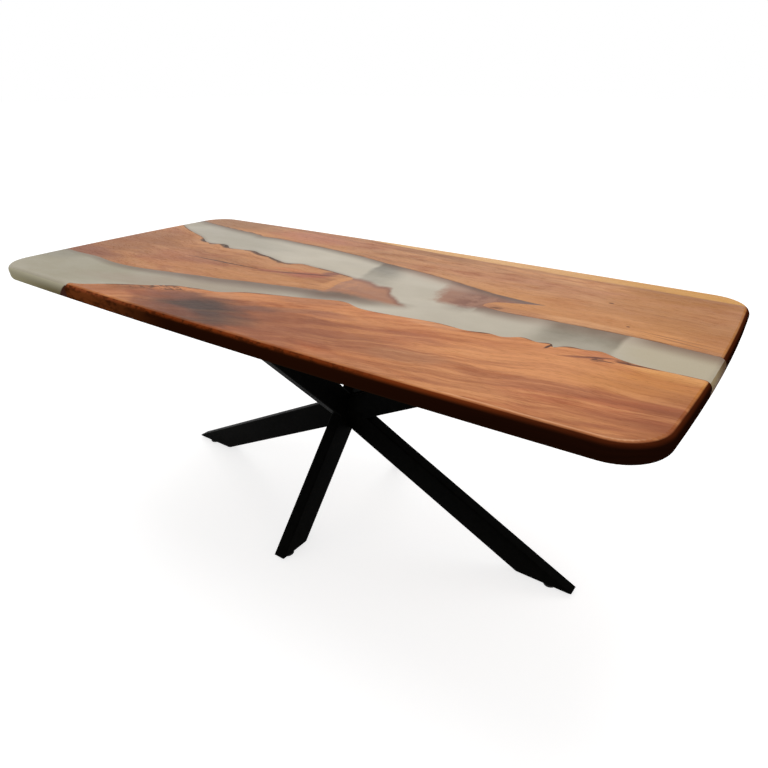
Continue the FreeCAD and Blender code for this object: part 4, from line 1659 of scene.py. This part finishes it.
def close_up() -> None:
    """Merges the doubles of the mesh in edit mode, turns its faces outwards and leaves edit mode."""
    bpy.ops.mesh.select_all(action="SELECT")
    bpy.ops.mesh.remove_doubles(threshold=MERGE_MILLIMETRES)
    bpy.ops.mesh.normals_make_consistent(inside=False)
    bpy.ops.object.mode_set(mode="OBJECT")


def turned(name: str, points: Sequence[Point], steps: int = 64) -> Piece:
    """Turns a profile round the upright axis, as on a lathe.

    Args:
        name: name of the new piece.
        points: radius and height of the profile, from the lower end of the axis up, in millimetres.
        steps: sides of the turned piece.

    Returns:
        The closed piece.
    """
    piece = draw_profile(name, points)
    bpy.ops.mesh.select_all(action="SELECT")
    bpy.ops.mesh.spin(steps=steps, angle=math.tau, center=(0.0, 0.0, 0.0), axis=(0.0, 0.0, 1.0))
    close_up()
    return piece


def join(pieces: Sequence[Piece], name: str) -> Piece:
    """Joins pieces into the first of them.

    Args:
        pieces: the pieces.
        name: name of the joined piece.

    Returns:
        The joined piece.
    """
    bpy.ops.object.select_all(action="DESELECT")
    for piece in pieces:
        piece.select_set(True)
    bpy.context.view_layer.objects.active = pieces[0]
    bpy.ops.object.join()
    pieces[0].name = name
    return pieces[0]


def set_in_place(piece: Piece, name: str, place: Point) -> Piece:
    """Copies a piece modelled in millimetres on the axis to its place in the frame.

    Args:
        piece: the piece on the axis.
        name: name of the copy.
        place: where its axis stands in plan, in metres.

    Returns:
        The copy, in metres, with its place in its own mesh.
    """
    copy = add_piece(name, piece.data.copy())
    copy.scale = (MILLIMETRE, MILLIMETRE, MILLIMETRE)
    copy.location = (*place, 0.0)
    pick(copy)
    bpy.ops.object.transform_apply(location=True, rotation=True, scale=True)
    bpy.ops.object.shade_smooth_by_angle(angle=math.radians(SMOOTH_HARDWARE))
    copy.select_set(False)
    return copy


@dataclass(frozen=True)
class Thread:
    """An M8 threaded rod on the axis, in millimetres."""

    low: float
    high: float
    radius: float = 3.98
    groove: float = 0.66
    pitch: float = 1.25
    sides: int = 20

    def build(self, name: str) -> Piece:
        """Winds the groove's profile up the axis, and trims and closes both ends.

        Args:
            name: name of the new piece.

        Returns:
            The rod.
        """
        root = self.radius - self.groove
        start = self.low - self.pitch
        marks = ((self.radius, 0.0), (self.radius, 0.12), (root, 0.46), (root, 0.66), (self.radius, 1.0))
        piece = draw_profile(name, [(radius, start + share * self.pitch) for radius, share in marks])
        bpy.ops.object.mode_set(mode="OBJECT")
        turns = math.ceil((self.high - self.low) / self.pitch) + 2
        apply_modifier(
            piece,
            "SCREW",
            screw_offset=self.pitch,
            iterations=turns,
            steps=self.sides,
            render_steps=self.sides,
            use_merge_vertices=True,
        )
        bpy.ops.object.mode_set(mode="EDIT")
        bpy.ops.mesh.select_all(action="SELECT")
        bpy.ops.mesh.remove_doubles(threshold=MERGE_MILLIMETRES)
        for height, upper in ((self.low, False), (self.high, True)):
            bpy.ops.mesh.select_all(action="SELECT")
            bpy.ops.mesh.bisect(
                plane_co=(0.0, 0.0, height),
                plane_no=(0.0, 0.0, 1.0),
                use_fill=True,
                clear_inner=not upper,
                clear_outer=upper,
            )
        close_up()
        return piece


@dataclass(frozen=True)
class HexHead:
    """A hexagon with turned chamfers on its ends, in millimetres."""

    low: float
    high: float
    across_flats: float = 13.0
    chamfer_low: bool = True
    chamfer_high: bool = True

    def build(self, name: str) -> Piece:
        """Extrudes the hexagon and turns its corners off.

        Args:
            name: name of the new piece.

        Returns:
            The hexagon.
        """
        flat = self.across_flats / 2
        corner = flat / math.cos(math.pi / 6)
        bpy.ops.object.select_all(action="DESELECT")
        bpy.ops.mesh.primitive_circle_add(
            vertices=6,
            radius=corner,
            fill_type="NGON",
            location=(0.0, 0.0, self.low),
            rotation=(0.0, 0.0, math.pi / 6),
        )
        piece = bpy.context.object
        piece.name = name
        bpy.ops.object.transform_apply(location=True, rotation=True, scale=True)
        bpy.ops.object.mode_set(mode="EDIT")
        bpy.ops.mesh.select_all(action="SELECT")
        bpy.ops.mesh.extrude_region_move(TRANSFORM_OT_translate={"value": (0.0, 0.0, self.high - self.low)})
        close_up()

        outer = corner * 1.08
        edge = flat * 0.95
        slope = (outer - edge) * math.tan(math.radians(30.0))
        low = [(0.0, self.low), (edge, self.low), (outer, self.low + slope)]
        high = [(outer, self.high - slope), (edge, self.high), (0.0, self.high)]
        plain_low = [(0.0, self.low - 1.0), (outer, self.low - 1.0)]
        plain_high = [(outer, self.high + 1.0), (0.0, self.high + 1.0)]
        cutter = turned(
            f"{name}_cutter",
            (low if self.chamfer_low else plain_low) + (high if self.chamfer_high else plain_high),
        )
        apply_modifier(piece, "BOOLEAN", operation="INTERSECT", object=cutter, solver="EXACT")
        bpy.data.objects.remove(cutter)
        return piece


@dataclass
class Hardware:
    """Bolts, washers and inserts under the top, and the weld nuts and levelling feet."""

    nodes: dict[str, Piece]
    long_reach: float = 0.722
    cross_reach: float = 0.320
    long_step: float = 0.115
    cross_step: float = 0.080
    side_step: float = 0.035
    long_foot: float = 0.740
    cross_foot: float = 0.335
    washer_ease: float = 0.00025
    nut_ease: float = 0.0003

    def build(self) -> list[Piece]:
        """Models the hardware and gives it its metals and plastic.

        Returns:
            The pieces.
        """
        zinc = BareMetal(Metal.ZINC).material()
        brass = BareMetal(Metal.BRASS).material()
        plastic = PadPlastic().material()
        pieces = [self.build_bolts(zinc), *self.build_feet(zinc, plastic)]
        for name, width in (("mount_washers", self.washer_ease), ("foot_weld_nuts", self.nut_ease)):
            pieces.append(self.dress(self.eased_copy(name, width), zinc, "zinc_steel"))
        insert = self.eased_copy("threaded_inserts", self.nut_ease)
        pieces.append(self.dress(insert, brass, "insert_brass"))
        return pieces

    def bolt_places(self) -> list[Point]:
        """Plan places of the mount bolts.

        Returns:
            The places, in metres.
        """
        places = []
        for first in (-1, 1):
            for second in (-1, 1):
                for side in (-1, 1):
                    along = first * self.long_reach + second * self.long_step
                    places.append((along, side * self.side_step))
                    across = first * self.cross_reach + second * self.cross_step
                    places.append((side * self.side_step, across))
        return places

    def foot_places(self) -> dict[str, Point]:
        """Plan places of the levelling feet.

        Returns:
            The places by the end of the table, in metres.
        """
        return {
            "left": (-self.long_foot, 0.0),
            "right": (self.long_foot, 0.0),
            "front": (0.0, -self.cross_foot),
            "rear": (0.0, self.cross_foot),
        }

    def build_bolts(self, zinc: Material) -> Piece:
        """Models one mount bolt, head down, and sets a copy in each hole.

        Args:
            zinc: its finish.

        Returns:
            The bolts, as one piece.
        """
        head = HexHead(707.1, 712.2, chamfer_high=False).build("bolt_head")
        ring = [(0.0, 711.0), (5.9, 711.0), (5.9, 712.3), (5.8, 712.4), (0.0, 712.4)]
        collar = turned("bolt_collar", ring, 40)
        shank = Thread(712.0, 736.6).build("bolt_shank")
        tip = [(0.0, 736.0), (3.3, 736.0), (3.3, 736.9), (2.5, 738.0), (0.0, 738.0)]
        point = turned("bolt_point", tip, 24)
        bolt = join((head, collar, shank, point), "bolt")
        copies = [set_in_place(bolt, "bolt", place) for place in self.bolt_places()]
        bpy.data.objects.remove(bolt)
        return self.stand_for("mount_bolts", join(copies, "mount_bolts_turned"), zinc, "zinc_steel")

    def build_feet(self, zinc: Material, plastic: Material) -> list[Piece]:
        """Models one stud and one pad, and sets a copy of each at the four feet.

        Args:
            zinc: finish of the studs.
            plastic: finish of the pads.

        Returns:
            The studs and pads.
        """
        collar = HexHead(6.0, 9.7).build("stud_collar")
        neck = turned("stud_neck", [(0.0, 2.2), (3.2, 2.2), (3.9, 2.9), (3.9, 6.6), (0.0, 6.6)], 32)
        shank = Thread(9.2, 30.8).build("stud_shank")
        point = turned("stud_point", [(0.0, 30.2), (3.3, 30.2), (3.3, 31.0), (2.4, 32.0), (0.0, 32.0)], 24)
        stud = join((collar, neck, shank, point), "stud")
        pad = turned(
            "pad",
            [
                (0.0, 0.7), (13.2, 0.7), (13.8, 0.0), (18.4, 0.0), (19.2, 0.3), (19.8, 0.9),
                (20.0, 1.6), (20.0, 3.4), (19.8, 4.4), (19.2, 5.2), (18.2, 5.8), (17.0, 5.98),
                (11.4, 5.98), (10.8, 5.7), (10.4, 5.2), (8.6, 5.2), (8.2, 5.5), (8.0, 5.9),
                (7.6, 5.98), (4.6, 5.98), (4.2, 5.7), (4.2, 2.0), (0.0, 2.0),
            ],
            72,
        )
        pieces = []
        for end, place in self.foot_places().items():
            stud_copy = set_in_place(stud, f"{end}_stud_turned", place)
            pieces.append(self.stand_for(f"{end}_glide_stud", stud_copy, zinc, "zinc_steel"))
            pad_copy = set_in_place(pad, f"{end}_pad_moulded", place)
            pieces.append(self.stand_for(f"{end}_glide_pad", pad_copy, plastic, "pad_plastic"))
        bpy.data.objects.remove(stud)
        bpy.data.objects.remove(pad)
        return pieces

    def eased_copy(self, name: str, width: float) -> Piece:
        """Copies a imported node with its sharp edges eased.

        Args:
            name: the node.
            width: width of the small bevels, in metres.

        Returns:
            The new piece.
        """
        piece = smooth_copy(self.nodes[name], f"{name}_eased")
        ease_edges(piece, width)
        return piece

    def stand_for(self, node: str, piece: Piece, material: Material, slot: str) -> Piece:
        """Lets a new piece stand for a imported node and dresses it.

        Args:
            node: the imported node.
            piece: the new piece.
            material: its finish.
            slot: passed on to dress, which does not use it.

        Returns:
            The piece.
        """
        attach(piece, self.nodes[node]["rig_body"])
        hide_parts(node)
        return self.dress(piece, material, slot)

    @staticmethod
    def dress(piece: Piece, material: Material, slot: str) -> Piece:
        """Gives a piece its finish.

        Args:
            piece: the piece.
            material: its finish.
            slot: not used.

        Returns:
            The piece.
        """
        piece.data.materials.clear()
        piece.data.materials.append(material)
        return piece


@dataclass(frozen=True)
class Studio:
    """Camera, floor, background and light."""

    focal_pixels: float = 559.04
    frame_pixels: float = 768.0
    centre_pixel: Point = (416.0, 490.0)
    camera_place: tuple[float, float, float] = (1.0746, -1.1929, 1.1958)
    pitch: float = 36.00
    yaw: float = -34.24
    roll: float = -0.253
    fill: float = 0.62
    sun: float = 1.25
    sun_angle: float = 50.0
    sun_place: tuple[float, float, float] = (-1.5, 2.0, 4.0)
    sun_aim: tuple[float, float, float] = (0.35, -0.45, -1.0)
    floor_size: float = 120.0
    floor_grey: Colour = (0.5, 0.5, 0.5, 1.0)
    floor_top_up: float = 0.72

    def build(self) -> None:
        """Sets up everything that isn't the table."""
        self.set_camera()
        self.set_world()
        self.set_floor()
        self.set_lights()
        bpy.context.scene.view_settings.view_transform = "Standard"

    def set_camera(self) -> None:
        """Places the camera where the photograph was taken."""
        pitch, yaw, roll = (math.radians(a) for a in (self.pitch, self.yaw, self.roll))
        ahead = Vector((math.sin(yaw) * math.cos(pitch), math.cos(yaw) * math.cos(pitch), -math.sin(pitch)))
        level = Vector((math.cos(yaw), -math.sin(yaw), 0.0))
        upright = level.cross(ahead)
        right = level * math.cos(roll) + upright * math.sin(roll)
        up = upright * math.cos(roll) - level * math.sin(roll)
        data = bpy.data.cameras.new("camera")
        data.sensor_width = 36.0
        data.lens = self.focal_pixels * data.sensor_width / self.frame_pixels
        data.shift_x = (self.frame_pixels / 2 - self.centre_pixel[0]) / self.frame_pixels
        data.shift_y = (self.centre_pixel[1] - self.frame_pixels / 2) / self.frame_pixels
        data.clip_start, data.clip_end = 0.05, 200.0
        camera = add_piece("camera", data)
        turn = Matrix((right, up, -ahead)).transposed().to_4x4()
        camera.matrix_world = Matrix.Translation(self.camera_place) @ turn
        bpy.context.scene.camera = camera

    @staticmethod
    def seen_directly(sketch: NodeSketch) -> Socket:
        """Tells the rays that show a thing from those that carry its light.

        Args:
            sketch: the sketch of its material.

        Returns:
            1 for camera, mirror and see-through rays, and 0 for the others.
        """
        path = sketch.add("LightPath")
        shown = sketch.math("MAXIMUM", path.outputs["Is Camera Ray"], path.outputs["Is Glossy Ray"])
        return sketch.math("MAXIMUM", shown, path.outputs["Is Transmission Ray"])

    def set_world(self) -> None:
        """Makes a background that looks white and lights the table softly from all round."""
        world = bpy.data.worlds.new("white_room")
        world.use_nodes = True
        bpy.context.scene.world = world
        sketch = NodeSketch(world.node_tree)
        background = sketch.add("Background")
        background.inputs["Color"].default_value = WHITE
        strength = sketch.fade(self.seen_directly(sketch), 0.0, 1.0, self.fill, 1.0)
        sketch.feed(background.inputs["Strength"], strength)
        output = sketch.add("OutputWorld")
        sketch.feed(output.inputs["Surface"], background.outputs["Background"])

    def set_floor(self) -> None:
        """Lays a pale floor that looks white and keeps a soft shadow."""
        bpy.ops.object.select_all(action="DESELECT")
        bpy.ops.mesh.primitive_plane_add(size=self.floor_size, location=(0.0, 0.0, 0.0))
        floor = bpy.context.object
        floor.name = "studio_floor"
        material = bpy.data.materials.new("studio_floor")
        material.use_nodes = True
        sketch = NodeSketch(material.node_tree)
        matt = sketch.add("BsdfDiffuse")
        matt.inputs["Color"].default_value = self.floor_grey
        glow = sketch.add("Emission")
        sketch.feed(glow.inputs["Strength"], sketch.product(self.seen_directly(sketch), self.floor_top_up))
        both = sketch.add("AddShader")
        sketch.feed(both.inputs[0], matt.outputs["BSDF"])
        sketch.feed(both.inputs[1], glow.outputs["Emission"])
        output = sketch.add("OutputMaterial")
        sketch.feed(output.inputs["Surface"], both.outputs["Shader"])
        floor.data.materials.append(material)

    def set_lights(self) -> None:
        """Hangs one wide soft lamp high behind the table."""
        data = bpy.data.lights.new("soft_key", "SUN")
        data.energy = self.sun
        data.angle = math.radians(self.sun_angle)
        lamp = add_piece("soft_key", data)
        turn = Vector(self.sun_aim).to_track_quat("-Z", "Y").to_matrix().to_4x4()
        lamp.matrix_world = Matrix.Translation(self.sun_place) @ turn


def main() -> None:
    """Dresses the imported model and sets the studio."""
    logging.basicConfig(level=logging.INFO, format="%(message)s")
    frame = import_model()
    nodes = frame["nodes"]
    for assembly in (RiverTop(nodes), CrossedBase(nodes), Hardware(nodes)):
        for piece in assembly.build():
            LOG.info("%s: %d faces", piece.name, len(piece.data.polygons))
    Studio().build()


if __name__ == "__main__":
    main()
